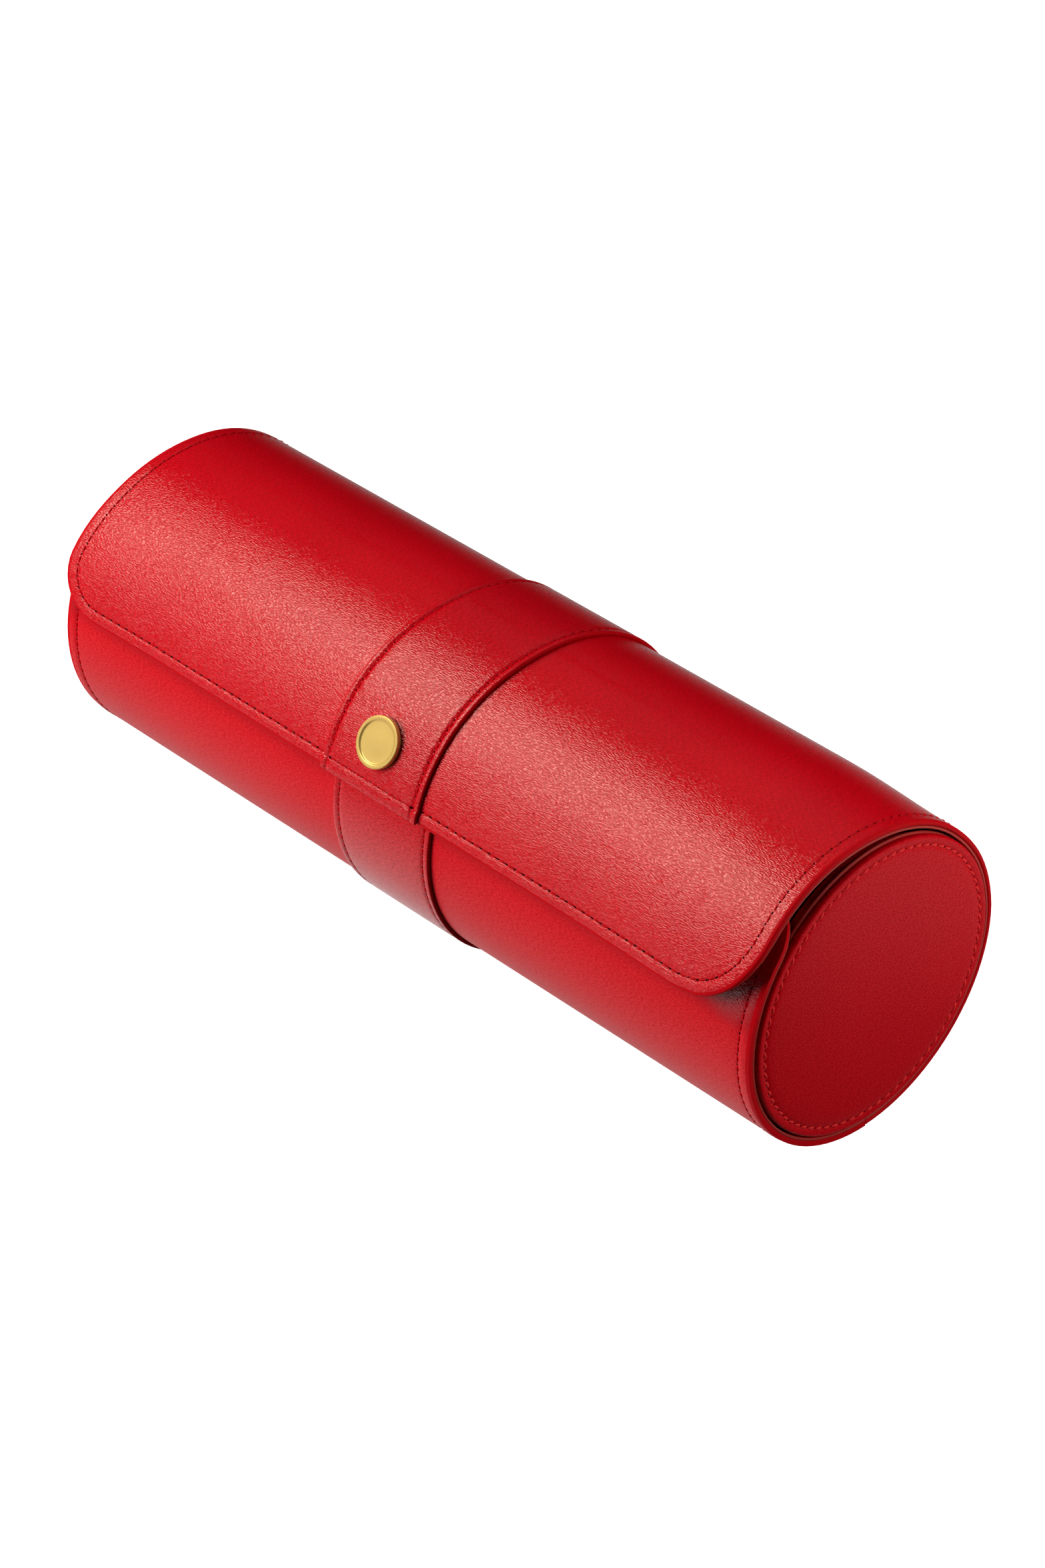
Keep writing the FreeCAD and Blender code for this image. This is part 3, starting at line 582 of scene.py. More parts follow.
AXIS_POINT = Vector((0, 0, AXIS_HEIGHT))
face_outwards(skin_back, AXIS_POINT)
dress(skin_back, flap_leather, edge_paint)
paint_rim(skin_back, rim_gap)
thicken(skin_back, LEATHER_THICKNESS, LEATHER_ROUNDING, 1, 4)
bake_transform(skin_back)
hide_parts("flap_leather", "back_hinge_leather")
print("skin_back:", len(skin_back.data.polygons), "faces")

# %% [markdown]
# ## Front skin and lip
# The front panel starts at the same seam under the roll, rises up the front and ends in a lip with
# rounded corners that lies under the flap. On the real roll the lip folds outwards when it is opened.

# %% Front skin
LIP_CORNER = 12.0
lip_lines = edge_lines(LIP_CORNER)
front_across = grid_lines(-HALF_LENGTH, HALF_LENGTH, lip_lines, lip_lines, SKIN_STEP_X)
front_along = grid_lines(-TUCK * MM, FRONT_LENGTH, SEAM_LINES, lip_lines, SKIN_STEP_RUN)
skin_front, flat_x, flat_run = flat_grid("skin_front", front_across, front_along)
rim_gap = np.minimum(HALF_LENGTH - np.abs(flat_x), FRONT_LENGTH - flat_run)
front_height = rim_height(rim_gap, LIP_SHARE) + tuck(flat_run)
flat_x, flat_run = round_corner(flat_x, flat_run, -HALF_LENGTH, FRONT_LENGTH, LIP_CORNER * MM)
flat_x, flat_run = round_corner(flat_x, flat_run, HALF_LENGTH, FRONT_LENGTH, LIP_CORNER * MM)
finish_mesh(skin_front, place_front(narrow(flat_x, flat_run), flat_run, front_height), flat_x, flat_run)
face_outwards(skin_front, AXIS_POINT)
dress(skin_front, panel_leather, edge_paint)
paint_rim(skin_front, rim_gap)
thicken(skin_front, LEATHER_THICKNESS, LEATHER_ROUNDING, 1, 4)
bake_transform(skin_front)
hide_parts("lip_leather", "front_hinge_leather", "lower_leather")
print("skin_front:", len(skin_front.data.polygons), "faces")

# %% [markdown]
# ## The band
# A strip of the same leather, a millimetre thick and sewn down 2 mm in from each side, runs round the
# middle. It is cut and laid like the skins. On the flap it lies a little askew, as on the real roll, so
# its middle line follows a short list of angles and places. Under the roll it is pressed flat.

# %% Band on the back and flap
BAND_HALF = 16.5
BAND_THICKNESS = 1.0
BAND_SINK = 0.05
BAND_ROUNDING = 0.4
BAND_STEP = 3.5
BAND_RELIEF = [(0, -0.10), (0.45, 0.02), (0.9, 0.04), (1.3, 0.0), (1.6, -0.09), (1.8, -0.19), (2.0, -0.24),
               (2.2, -0.19), (2.4, -0.09), (2.8, -0.01), (3.5, 0.03), (60, 0.05)]
BAND_EDGE_LINES = [place for place, height in BAND_RELIEF[:-1]] + [5.0]
CENTRE_TURNS = np.radians([-90, 0, 40, 74, 93, 99, 120, 135, 150, 166])
CENTRE_PLACES = np.array([-1.0, 0.6, 1.0, 1.1, 0.5, 0.2, -1.5, -2.4, -2.8, -2.9]) * MM
FRONT_CENTRE = -1.0 * MM


def band_centre(run):
    return np.interp(np.interp(run, back_run, back_turn), CENTRE_TURNS, CENTRE_PLACES)


def band_height(offset):
    places, heights = zip(*BAND_RELIEF)
    gap = BAND_HALF - np.abs(offset) / MM
    return MM * (BAND_THICKNESS + np.interp(gap, places, heights))


def on_floor(spots):
    spots[..., 2] = np.maximum(spots[..., 2], cad_low[2])
    return spots


band_across = grid_lines(-BAND_HALF * MM, BAND_HALF * MM, BAND_EDGE_LINES, BAND_EDGE_LINES, BAND_STEP)
band_back, offset, run = flat_grid("band_back", band_across, back_along)
height = band_height(offset) + rim_height(BACK_LENGTH - run) + tuck(run)
spots = on_floor(place_back(band_centre(run) + offset, run, height))
finish_mesh(band_back, spots, offset, run)
face_outwards(band_back, AXIS_POINT)
dress(band_back, band_leather, edge_paint)
thicken(band_back, BAND_THICKNESS + BAND_SINK, BAND_ROUNDING)
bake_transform(band_back)
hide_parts("flap_band", "back_hinge_band")
print("band_back:", len(band_back.data.polygons), "faces")

# %% Band on the front and lip
band_front, offset, run = flat_grid("band_front", band_across, front_along)
height = band_height(offset) + rim_height(FRONT_LENGTH - run, LIP_SHARE) + tuck(run)
spots = on_floor(place_front(FRONT_CENTRE + offset, run, height))
finish_mesh(band_front, spots, offset, run)
face_outwards(band_front, AXIS_POINT)
dress(band_front, band_leather, edge_paint)
thicken(band_front, BAND_THICKNESS + BAND_SINK, BAND_ROUNDING)
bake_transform(band_front)
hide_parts("lip_band", "front_hinge_band", "lower_band")
print("band_front:", len(band_front.data.polygons), "faces")

# %% [markdown]
# ## Stitches
# One stitch is modelled and copied. It starts as a small sphere, is stretched to a short thread and
# bent so that its ends dive into the leather, where a small dark dimple, painted shade, marks the needle
# hole. The needle pulls the holes widest along the flap's front edge, so a row can say how open its holes
# are.

# %% One stitch and one needle hole
STITCH_LENGTH = 2.6
THREAD_WIDTH = 0.56
THREAD_HEIGHT = 0.44
HOLE_LENGTH = 1.08
HOLE_WIDTH = 0.72
SIDE_OPENING = 0.65
STITCH_RISE = 0.06
STITCH_ARCH = 0.34
HOLE_DISH = 0.03


def take_mesh(piece):
    spots = np.array([v.co for v in piece.data.vertices])
    faces = [list(f.vertices) for f in piece.data.polygons]
    bpy.data.objects.remove(piece, do_unlink=True)
    return spots, faces


bpy.ops.object.select_all(action="DESELECT")
bpy.ops.mesh.primitive_uv_sphere_add(segments=6, ring_count=6, radius=0.5, rotation=(0, math.pi / 2, 0))
bpy.ops.object.transform_apply(location=False, rotation=True, scale=False)
stitch_spots, stitch_faces = take_mesh(bpy.context.object)
stitch_spots = stitch_spots * [STITCH_LENGTH, THREAD_WIDTH, THREAD_HEIGHT]
stitch_spots[:, 2] += STITCH_RISE - STITCH_ARCH * (2 * stitch_spots[:, 0] / STITCH_LENGTH) ** 2

bpy.ops.mesh.primitive_circle_add(vertices=8, radius=0.5, fill_type="TRIFAN")
hole_spots, hole_faces = take_mesh(bpy.context.object)
hole_rim = np.hypot(hole_spots[:, 0], hole_spots[:, 1]) * 2
hole_spots = hole_spots * [HOLE_LENGTH, HOLE_WIDTH, 1]
hole_spots[:, 2] = STITCH_RISE - HOLE_DISH * hole_rim
print("one stitch:", len(stitch_faces), "faces, one hole:", len(hole_faces), "faces")

# %% [markdown]
# A row of stitches is one mesh. Each copy gets its own three directions, along the row, across it and up
# from the leather, and leans a little, as hand-set stitches do. Threads come first and holes after them,
# so that one list of numbers can hand out the two materials.

# %% Sewing a row
SLANT = 4.0


def sew(name, knots, ups, slant=SLANT, yarn=thread, bulk=1.0, opening=SIDE_OPENING):
    """Stitches between knots, which lie in a row on the leather; ups are the leather's normals there."""
    starts = knots[:-1]
    ends = knots[1:]
    along = ends - starts
    along = along / np.linalg.norm(along, axis=1)[:, None]
    up = ups[:-1] + ups[1:]
    up = up - (up * along).sum(axis=1)[:, None] * along
    up = up / np.linalg.norm(up, axis=1)[:, None]
    side = np.cross(up, along)
    lean = math.tan(math.radians(slant))
    middle = (starts + ends) / 2
    skew = along + lean * side
    axes = np.stack([skew, side, up], axis=1) * MM
    threads = middle[:, None, :] + (stitch_spots * [1, bulk, bulk]) @ axes
    openings = np.broadcast_to(opening, len(knots))[:-1, None, None]
    holes = starts[:, None, :] + (hole_spots * openings) @ axes
    count = len(starts)
    faces = []
    for k in range(count):
        faces += [[i + k * len(stitch_spots) for i in face] for face in stitch_faces]
    base = count * len(stitch_spots)
    for k in range(count):
        faces += [[i + base + k * len(hole_spots) for i in face] for face in hole_faces]
    mesh = bpy.data.meshes.new(name)
    mesh.from_pydata(np.concatenate([threads.reshape(-1, 3), holes.reshape(-1, 3)]).tolist(), [], faces)
    row = bpy.data.objects.new(name, mesh)
    bpy.context.collection.objects.link(row)
    dress(row, yarn, needle_hole)
    dark = [0] * (count * len(stitch_faces)) + [1] * (count * len(hole_faces))
    mesh.polygons.foreach_set("material_index", dark)
    mesh.polygons.foreach_set("use_smooth", [True] * len(faces))
    return row


def even_knots(corner_points):
    """Points one stitch apart along a flat path of (x, run)."""
    path = np.array(corner_points)
    steps = np.concatenate([[0.0], np.cumsum(np.hypot(*np.diff(path, axis=0).T))])
    count = round(steps[-1] / (STITCH_PITCH * MM))
    at = np.linspace(0, steps[-1], count + 1)
    return np.interp(at, steps, path[:, 0]), np.interp(at, steps, path[:, 1])


def radial(spots):
    ups = spots * [0, 1, 1] - [0, 0, AXIS_HEIGHT]
    return ups / np.linalg.norm(ups, axis=1)[:, None]


print("a stitch leans", SLANT, "degrees where a row says nothing else")

# %% Sewing the rims
SEAM_START = 2.0
CORNER_STEPS = 13
GROOVE = rim_height(STITCH_IN * MM)


def rim_path(length, corner_left, corner_right):
    """The seam's flat path: up the left side, round the corner, across, round and down the right side."""
    inset = STITCH_IN * MM
    first_run = SEAM_START * MM
    sweep = np.linspace(0, math.pi / 2, CORNER_STEPS)
    left = corner_left * MM
    right = corner_right * MM
    path = [(-HALF_LENGTH + inset, first_run)]
    for a in sweep:
        path.append((-HALF_LENGTH + left - (left - inset) * math.cos(a),
                     length - left + (left - inset) * math.sin(a)))
    for a in sweep:
        path.append((HALF_LENGTH - right + (right - inset) * math.sin(a),
                     length - right + (right - inset) * math.cos(a)))
    path += [(HALF_LENGTH - inset, first_run)]
    return path


knot_x, knot_run = even_knots(rim_path(BACK_LENGTH, FLAP_CORNER_LEFT, FLAP_CORNER_RIGHT))
front_share = flap_rim_share(HALF_LENGTH - np.abs(knot_x), BACK_LENGTH - knot_run)
on_leather = place_back(knot_x, knot_run, GROOVE * (SIDE_SHARE + (1 - SIDE_SHARE) * front_share))
on_band = place_back(knot_x, knot_run, GROOVE + BAND_THICKNESS * MM)
banded = np.abs(knot_x - band_centre(knot_run)) < BAND_HALF * MM
knots = np.where(banded[:, None], on_band, on_leather)
openings = SIDE_OPENING + (1 - SIDE_OPENING) * front_share
stitch_back = sew("stitches_back_rim", knots, radial(knots), opening=openings)
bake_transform(stitch_back)
knot_x, knot_run = even_knots(rim_path(FRONT_LENGTH, LIP_CORNER, LIP_CORNER))
on_leather = place_front(knot_x, knot_run, LIP_SHARE * GROOVE)
on_band = place_front(knot_x, knot_run, LIP_SHARE * GROOVE + BAND_THICKNESS * MM)
banded = np.abs(knot_x - FRONT_CENTRE) < BAND_HALF * MM
knots = np.where(banded[:, None], on_band, on_leather)
stitch_front = sew("stitches_front_rim", knots, radial(knots))
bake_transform(stitch_front)
print("rim rows:", len(stitch_back.data.polygons), len(stitch_front.data.polygons), "faces")

# %% Sewing the band
BAND_STITCH = BAND_HALF - 2.0
BAND_SEAM_START = 6.0


def band_knots(length):
    return even_knots([(0.0, BAND_SEAM_START * MM), (0.0, length - STITCH_IN * MM)])[1]


for side_name, side in (("left", -1), ("right", 1)):
    offset = side * BAND_STITCH * MM
    knot_run = band_knots(BACK_LENGTH)
    height = band_height(offset) + rim_height(BACK_LENGTH - knot_run)
    knots = place_back(band_centre(knot_run) + offset, knot_run, height)
    row = sew("stitches_band_back_" + side_name, knots, radial(knots))
    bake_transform(row)
    knot_run = band_knots(FRONT_LENGTH)
    height = band_height(offset) + rim_height(FRONT_LENGTH - knot_run, LIP_SHARE)
    knots = place_front(FRONT_CENTRE + offset + 0 * knot_run, knot_run, height)
    row = sew("stitches_band_front_" + side_name, knots, radial(knots))
    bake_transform(row)
    print("band rows on the", side_name, "made")

# %% [markdown]
# ## Round ends
# Each end is a leather-covered wall with a second, smaller covered disc sewn on its outside. Both are
# turned shapes, so the outline from the middle to the rim is drawn once, as radius and height, and spun
# round the axis. The disc's outline dips where the thread pulls it down. The wall's rim gets the lighter
# edge colour, a painted highlight.

# %% Outlines of the ends
DISC_STITCH = 35.2
DISC_GROOVE = 1.75
DISC_KNOTS = 76
DISC_SLANT = 10.0
DISC_BULK = 1.4
DISC_OPENING = 0.5
DISC_OUTLINE = [(0, 2.20), (8, 2.20), (18, 2.18), (27, 2.15), (32.3, 2.10), (33.8, 2.05), (34.4, 1.97),
                (34.8, 1.84), (35.0, 1.76), (35.2, 1.73), (35.4, 1.76), (35.6, 1.84), (36.0, 1.92),
                (36.5, 1.97), (36.9, 1.96), (37.12, 1.88), (37.3, 1.70), (37.4, 1.45), (37.43, 1.10),
                (37.43, 0.72), (37.33, 0.44), (37.1, 0.20), (36.7, 0.0), (30, 0.0), (0, 0.0)]
WALL_OUTLINE = [(0, 2.9), (30, 2.9), (36.3, 2.9), (36.8, 3.0), (37.2, 2.98), (37.45, 2.84), (37.58, 2.6),
                (37.56, 2.35), (37.4, 2.2), (37.0, 2.1), (36.5, 2.0), (36.3, 1.8), (36.2, 0.0), (30, 0.0),
                (0, 0.0)]
HIGHLIGHT_RIM_FROM = 37.3
LINING_OUTLINE = [(0, 0.40), (20, 0.40), (35.2, 0.36), (35.8, 0.25), (36.1, 0.1), (36.1, 0.0), (0, 0.0)]
SAME_SPOT = 0.00001
SHARP_TURN = math.radians(50)


def spin_outline(name, outline, start_x, side, steps=160):
    bpy.ops.object.select_all(action="DESELECT")
    bpy.ops.mesh.primitive_plane_add(size=1)
    piece = bpy.context.object
    piece.name = name
    profile = [(side * (start_x + h * MM), r * MM, AXIS_HEIGHT) for r, h in outline]
    piece.data.clear_geometry()
    piece.data.from_pydata(profile, [(i, i + 1) for i in range(len(profile) - 1)], [])
    bpy.ops.object.mode_set(mode="EDIT")
    bpy.ops.mesh.select_all(action="SELECT")
    bpy.ops.mesh.spin(steps=steps, angle=2 * math.pi, center=(0, 0, AXIS_HEIGHT), axis=(1, 0, 0))
    bpy.ops.mesh.select_all(action="SELECT")
    bpy.ops.mesh.remove_doubles(threshold=SAME_SPOT)
    bpy.ops.mesh.normals_make_consistent(inside=False)
    bpy.ops.object.mode_set(mode="OBJECT")
    bpy.ops.object.shade_smooth_by_angle(angle=SHARP_TURN)
    piece.data.uv_layers.new(name="cut")
    spots = np.array([v.co for v in piece.data.vertices])
    finish_mesh(piece, spots, spots[:, 1] * side, spots[:, 2])
    return piece


def case_cover(piece, slot, *replaced):
    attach(piece, "case")
    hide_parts(*replaced)


print("points drawn for disc, wall and lining:", len(DISC_OUTLINE), len(WALL_OUTLINE), len(LINING_OUTLINE))

# %% Spun ends
for hand, side in (("left", -1), ("right", 1)):
    wall_low, wall_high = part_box(hand + "_wall_leather")
    wall_start = min(abs(wall_low[0]), abs(wall_high[0]))
    disc_start = max(abs(wall_low[0]), abs(wall_high[0]))
    disc_cover = spin_outline(hand + "_disc_cover", DISC_OUTLINE, disc_start, side)
    dress(disc_cover, end_leather)
    case_cover(disc_cover, "red_leather", hand + "_disc_leather", hand + "_disc_board")
    wall_cover = spin_outline(hand + "_wall_cover", WALL_OUTLINE, wall_start, side)
    dress(wall_cover, end_leather, highlight_edge_paint)
    reach = [math.hypot(f.center.y, f.center.z - AXIS_HEIGHT) for f in wall_cover.data.polygons]
    # painted highlight: the faces of the wall's rim get the lighter edge colour
    wall_cover.data.polygons.foreach_set("material_index", [int(r > HIGHLIGHT_RIM_FROM * MM) for r in reach])
    case_cover(wall_cover, "red_leather", hand + "_wall_leather", hand + "_wall_board")
    wall_lining = spin_outline(hand + "_wall_lining_suede", LINING_OUTLINE, wall_start, side)
    spots = np.array([v.co for v in wall_lining.data.vertices])
    spots[:, 0] = side * 2 * wall_start - spots[:, 0]
    finish_mesh(wall_lining, spots, spots[:, 1], spots[:, 2])
    wall_lining.data.flip_normals()
    dress(wall_lining, lining_suede)
    case_cover(wall_lining, "suede_lining", hand + "_wall_lining")
    angles = np.linspace(0, 2 * math.pi, DISC_KNOTS)
    knots = np.stack([np.full(DISC_KNOTS, side * (disc_start + DISC_GROOVE * MM)),
                      DISC_STITCH * MM * np.cos(angles),
                      AXIS_HEIGHT + DISC_STITCH * MM * np.sin(angles)], axis=-1)
    ups = np.tile([side * 1.0, 0, 0], (DISC_KNOTS, 1))
    # the disc rows use the lighter copy of the thread, a painted highlight
    row = sew("stitches_disc_" + hand, knots, ups, slant=DISC_SLANT, yarn=highlight_thread, bulk=DISC_BULK,
              opening=DISC_OPENING)
    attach(row, "case")
    print(hand, "end:", len(disc_cover.data.polygons), "faces")

# %% [markdown]
# ## Badge
# A small gilt disc is pinned to the flap's band. A cylinder is inset and pressed in for the dish, in
# steps of width and rise, its rims are bevelled, and it is turned to stand on the flap where the CAD
# badge stands.

# %% Badge
badge_low, badge_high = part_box("badge")
badge_radius = (badge_high[0] - badge_low[0]) / 2
BADGE_TURN = math.radians(148)
BADGE_HEIGHT = 1.3
BADGE_STEPS = [(0.9, 0.0), (0.35, -0.30), (2.2, 0.10), (1.6, 0.08)]
BADGE_ROUNDING = 0.16
BADGE_SHARP = math.radians(28)
BADGE_SMOOTH = math.radians(30)
FACES_UP = 0.9
bpy.ops.object.select_all(action="DESELECT")
bpy.ops.mesh.primitive_cylinder_add(vertices=96, radius=badge_radius, depth=BADGE_HEIGHT * MM,
                                    location=(0, 0, BADGE_HEIGHT * MM / 2))
bpy.ops.object.transform_apply(location=True, rotation=False, scale=False)
badge_disc = bpy.context.object
badge_disc.name = "badge_disc"
bpy.ops.object.mode_set(mode="EDIT")
bpy.ops.mesh.select_all(action="DESELECT")
bpy.ops.object.mode_set(mode="OBJECT")
for face in badge_disc.data.polygons:
    face.select = face.normal.z > FACES_UP
bpy.ops.object.mode_set(mode="EDIT")
for width, rise in BADGE_STEPS:
    bpy.ops.mesh.inset(thickness=width * MM, depth=rise * MM)
bpy.ops.object.mode_set(mode="OBJECT")
soft = badge_disc.modifiers.new("rounding", "BEVEL")
soft.width = BADGE_ROUNDING * MM
soft.segments = 3
soft.limit_method = "ANGLE"
soft.angle_limit = BADGE_SHARP
apply_modifiers(badge_disc)
bpy.ops.object.shade_smooth_by_angle(angle=BADGE_SMOOTH)
flap_axis = Vector((0, -FLAP_FORWARD, AXIS_HEIGHT + FLAP_RAISE))
stand = Vector((0, math.cos(BADGE_TURN), math.sin(BADGE_TURN)))
foot = flap_axis + stand * (FLAP_RADIUS + BAND_THICKNESS * MM)
foot.x = (badge_high[0] + badge_low[0]) / 2
badge_disc.data.transform(Matrix.Translation(foot) @ stand.to_track_quat("Z", "Y").to_matrix().to_4x4())
dress(badge_disc, gilt_brass)
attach(badge_disc, "flap")
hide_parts("badge")
print("badge_disc:", len(badge_disc.data.polygons), "faces")

# %% [markdown]
# ## Stiffeners and linings
# Behind the skin lies a thin stiffener whose edge shows as a second, lighter line below the leather's,
# a painted highlight along the inner corner of the edge, and behind that a suede lining, 5 mm smaller
# than the leather. They are laid like the skins, on the inner side. The same function makes both, from
# the depth below the skin's face and the inset.

# %% Layers behind the skins
STIFF_DEPTH = 1.32
STIFF_INSET = 0.15
LINING_THICKNESS = 0.3
LINING_INSET = 5.0
LAYER_GAP = 0.02
LAYER_STEP_X = 8.0
LAYER_STEP_RUN = 3.0


def layer(name, flat_lines, place, length, corners, inset, depth, thickness, rounding, *materials):
    sheet, x, run = flat_grid(name, *flat_lines)
    x = x * (1 - inset * MM / HALF_LENGTH)
    run = run * (length - inset * MM) / length
    x, run = round_corner(x, run, -HALF_LENGTH + inset * MM, length - inset * MM, corners[0] * MM)
    x, run = round_corner(x, run, HALF_LENGTH - inset * MM, length - inset * MM, corners[1] * MM)
    finish_mesh(sheet, place(x, run, -depth * MM + 0 * x), x, run)
    face_outwards(sheet, AXIS_POINT)
    dress(sheet, *materials)
    thicken(sheet, thickness, rounding, len(materials) - 1)
    return sheet


lip_layer_lines = [0, 1.5, 4, 8, 12]
left_layer_lines = [0, 2, 5, 9, 14]
right_layer_lines = left_layer_lines + [20]
back_lines = (grid_lines(-HALF_LENGTH, HALF_LENGTH, left_layer_lines, right_layer_lines, LAYER_STEP_X),
              grid_lines(0, BACK_LENGTH, [0], right_layer_lines, LAYER_STEP_RUN))
front_lines = (grid_lines(-HALF_LENGTH, HALF_LENGTH, lip_layer_lines, lip_layer_lines, LAYER_STEP_X),
               grid_lines(0, FRONT_LENGTH, [0], lip_layer_lines, LAYER_STEP_RUN))
back_corners = (FLAP_CORNER_LEFT, FLAP_CORNER_RIGHT)
front_corners = (LIP_CORNER, LIP_CORNER)
# the stiffener's rim gets the lighter edge colour, a painted highlight along the edge's inner corner
stiff_size = (STIFF_INSET, STIFF_DEPTH, SKIN_THICKNESS - STIFF_DEPTH, 0.25, end_leather, highlight_edge_paint)
lining_size = (LINING_INSET, SKIN_THICKNESS - LAYER_GAP, LINING_THICKNESS, 0.1, lining_suede)
stiff_back = layer("stiffener_flap", back_lines, place_back, BACK_LENGTH, back_corners, *stiff_size)
stiff_front = layer("stiffener_lip", front_lines, place_front, FRONT_LENGTH, front_corners, *stiff_size)
lining_back = layer("lining_flap", back_lines, place_back, BACK_LENGTH, back_corners, *lining_size)
lining_front = layer("lining_lip", front_lines, place_front, FRONT_LENGTH, front_corners, *lining_size)
for sheet, slot in ((stiff_back, "board"), (lining_back, "suede_lining")):
    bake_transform(sheet)
for sheet, slot in ((stiff_front, "board"), (lining_front, "suede_lining")):
    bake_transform(sheet)
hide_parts("flap_stiffener")
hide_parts("lip_stiffener", "lower_stiffener")
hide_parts("flap_lining", "lower_lining")
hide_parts("lip_lining")
print("layers:", [len(sheet.data.polygons) for sheet in (stiff_back, stiff_front, lining_back, lining_front)])

# %% [markdown]
# ## Cradle and dividers
# A half tube of board, lined with suede, keeps the roll round inside, and two lined discs part it into
# three rooms. The tube is a grid bent to an arc and thickened, and the dividers are spun like the ends.

# %% Cradle and dividers
CRADLE_LINING = 0.4
CRADLE_STEP = 8.0
CRADLE_ROUNDING = 0.6
CRADLE_ROWS = 70
CRADLE_FRONT = math.radians(168)
CRADLE_BACK = math.radians(360)
DIVIDER_STEPS = 96
DIVIDER_OUTLINE = [(0, 1.5), (20, 1.5), (34.6, 1.5), (35.4, 1.35), (35.85, 0.9), (36.05, 0.3), (36.05, -0.3),
                   (35.85, -0.9), (35.4, -1.35), (34.6, -1.5), (20, -1.5), (0, -1.5)]
cradle_low, cradle_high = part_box("cradle_lining")
cradle_inside = cradle_high[1] - CRADLE_LINING * MM
cradle_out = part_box("cradle_board")[1][1]
cradle_turn = np.linspace(CRADLE_FRONT, CRADLE_BACK, CRADLE_ROWS)
cradle_x = grid_lines(cradle_low[0], cradle_high[0], [0, 1], [0, 1], CRADLE_STEP)
cradle_cover, x, turn = flat_grid("cradle_cover", cradle_x, cradle_turn)
spots = np.stack([x, cradle_inside * np.cos(turn), AXIS_HEIGHT + cradle_inside * np.sin(turn)], axis=-1)
finish_mesh(cradle_cover, spots, x, turn * cradle_inside)
face_outwards(cradle_cover, AXIS_POINT)
cradle_cover.data.flip_normals()
dress(cradle_cover, lining_suede)
thicken(cradle_cover, (cradle_out - cradle_inside) / MM, CRADLE_ROUNDING, 0)
case_cover(cradle_cover, "suede_lining", "cradle_lining", "cradle_board")
for hand, side in (("left", -1), ("right", 1)):
    low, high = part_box(hand + "_divider_facings")
    divider = spin_outline(hand + "_divider", DIVIDER_OUTLINE, abs(low[0] + high[0]) / 2, side, DIVIDER_STEPS)
    dress(divider, lining_suede)
    case_cover(divider, "suede_lining", hand + "_divider_facings", hand + "_divider_board")
print("cradle_cover:", len(cradle_cover.data.polygons), "faces, and two dividers")

# %% [markdown]
# ## Pillows
# Three oval foam pillows in suede sleeves hold the watches. Each starts as an oval drum, is remeshed
# evenly, and a short cloth simulation with inner pressure rounds and swells it like stuffed fabric. It
# may move no spot further than the cap below, and the result is fitted into the room the CAD model has.

# %% Pillows
PILLOW_START = 0.955
PILLOW_LENGTH_START = 0.97
PILLOW_FIT = 0.995
PILLOW_EDGE = 2.5
PILLOW_MESH = 3.2
PILLOW_CAP = 3.0
STUFFING_PRESSURE = 4.0
STUFFING_STEPS = 20
PILLOW_PARTS = ("sleeve", "foam", "ends")


def make_pillow(name, low, high):
    middle = (low + high) / 2
    half = (high - low) / 2
    bpy.ops.object.select_all(action="DESELECT")
    bpy.ops.mesh.primitive_cylinder_add(vertices=72, radius=1, depth=2, rotation=(0, math.pi / 2, 0))
    pillow = bpy.context.object
    pillow.name = name
    bpy.ops.object.transform_apply(location=False, rotation=True, scale=False)
    bpy.ops.object.mode_set(mode="EDIT")
    bpy.ops.mesh.select_all(action="SELECT")
    start_size = (half.x * PILLOW_LENGTH_START, half.y * PILLOW_START, half.z * PILLOW_START)
    bpy.ops.transform.resize(value=start_size)
    bpy.ops.object.mode_set(mode="OBJECT")
    edge = pillow.modifiers.new("rounding", "BEVEL")
    edge.width = PILLOW_EDGE * MM
    edge.segments = 3
    edge.limit_method = "ANGLE"
    even = pillow.modifiers.new("even", "REMESH")
    even.mode = "VOXEL"
    even.voxel_size = PILLOW_MESH * MM
    apply_modifiers(pillow)
    start = np.array([v.co for v in pillow.data.vertices])
    cloth = pillow.modifiers.new("cloth", "CLOTH")
    cloth.settings.use_pressure = True
    cloth.settings.uniform_pressure_force = STUFFING_PRESSURE
    cloth.settings.effector_weights.gravity = 0
    for step in range(1, STUFFING_STEPS + 1):
        bpy.context.scene.frame_set(step)
    shaped = pillow.evaluated_get(bpy.context.evaluated_depsgraph_get()).to_mesh()
    end = np.array([v.co for v in shaped.vertices])
    pillow.modifiers.remove(cloth)
    bpy.context.scene.frame_set(1)
    move = end - start
    far = np.linalg.norm(move, axis=1)[:, None]
    start = start + move * np.minimum(1, PILLOW_CAP * MM / np.maximum(far, 1e-9))
    start = start * np.minimum(1, np.array(half) * PILLOW_FIT / np.abs(start).max(axis=0))
    pillow.data.vertices.foreach_set("co", (start + np.array(middle)).reshape(-1))
    fuller = pillow.modifiers.new("fuller", "SUBSURF")
    fuller.levels = 1
    fuller.render_levels = 1
    apply_modifiers(pillow)
    bpy.ops.object.shade_smooth()
    return pillow


for number in ("1", "2", "3"):
    part_names = ["pillow_%s_%s" % (number, kind) for kind in PILLOW_PARTS]
    parts = [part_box(part_name) for part_name in part_names]
    low = Vector([min(part[0][i] for part in parts) for i in range(3)])
    high = Vector([max(part[1][i] for part in parts) for i in range(3)])
    pillow = make_pillow("pillow_%s_cushion" % number, low, high)
    dress(pillow, pillow_suede)
    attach(pillow, "pillow_" + number)
    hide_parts(*part_names)
    print(pillow.name, len(pillow.data.polygons), "faces")

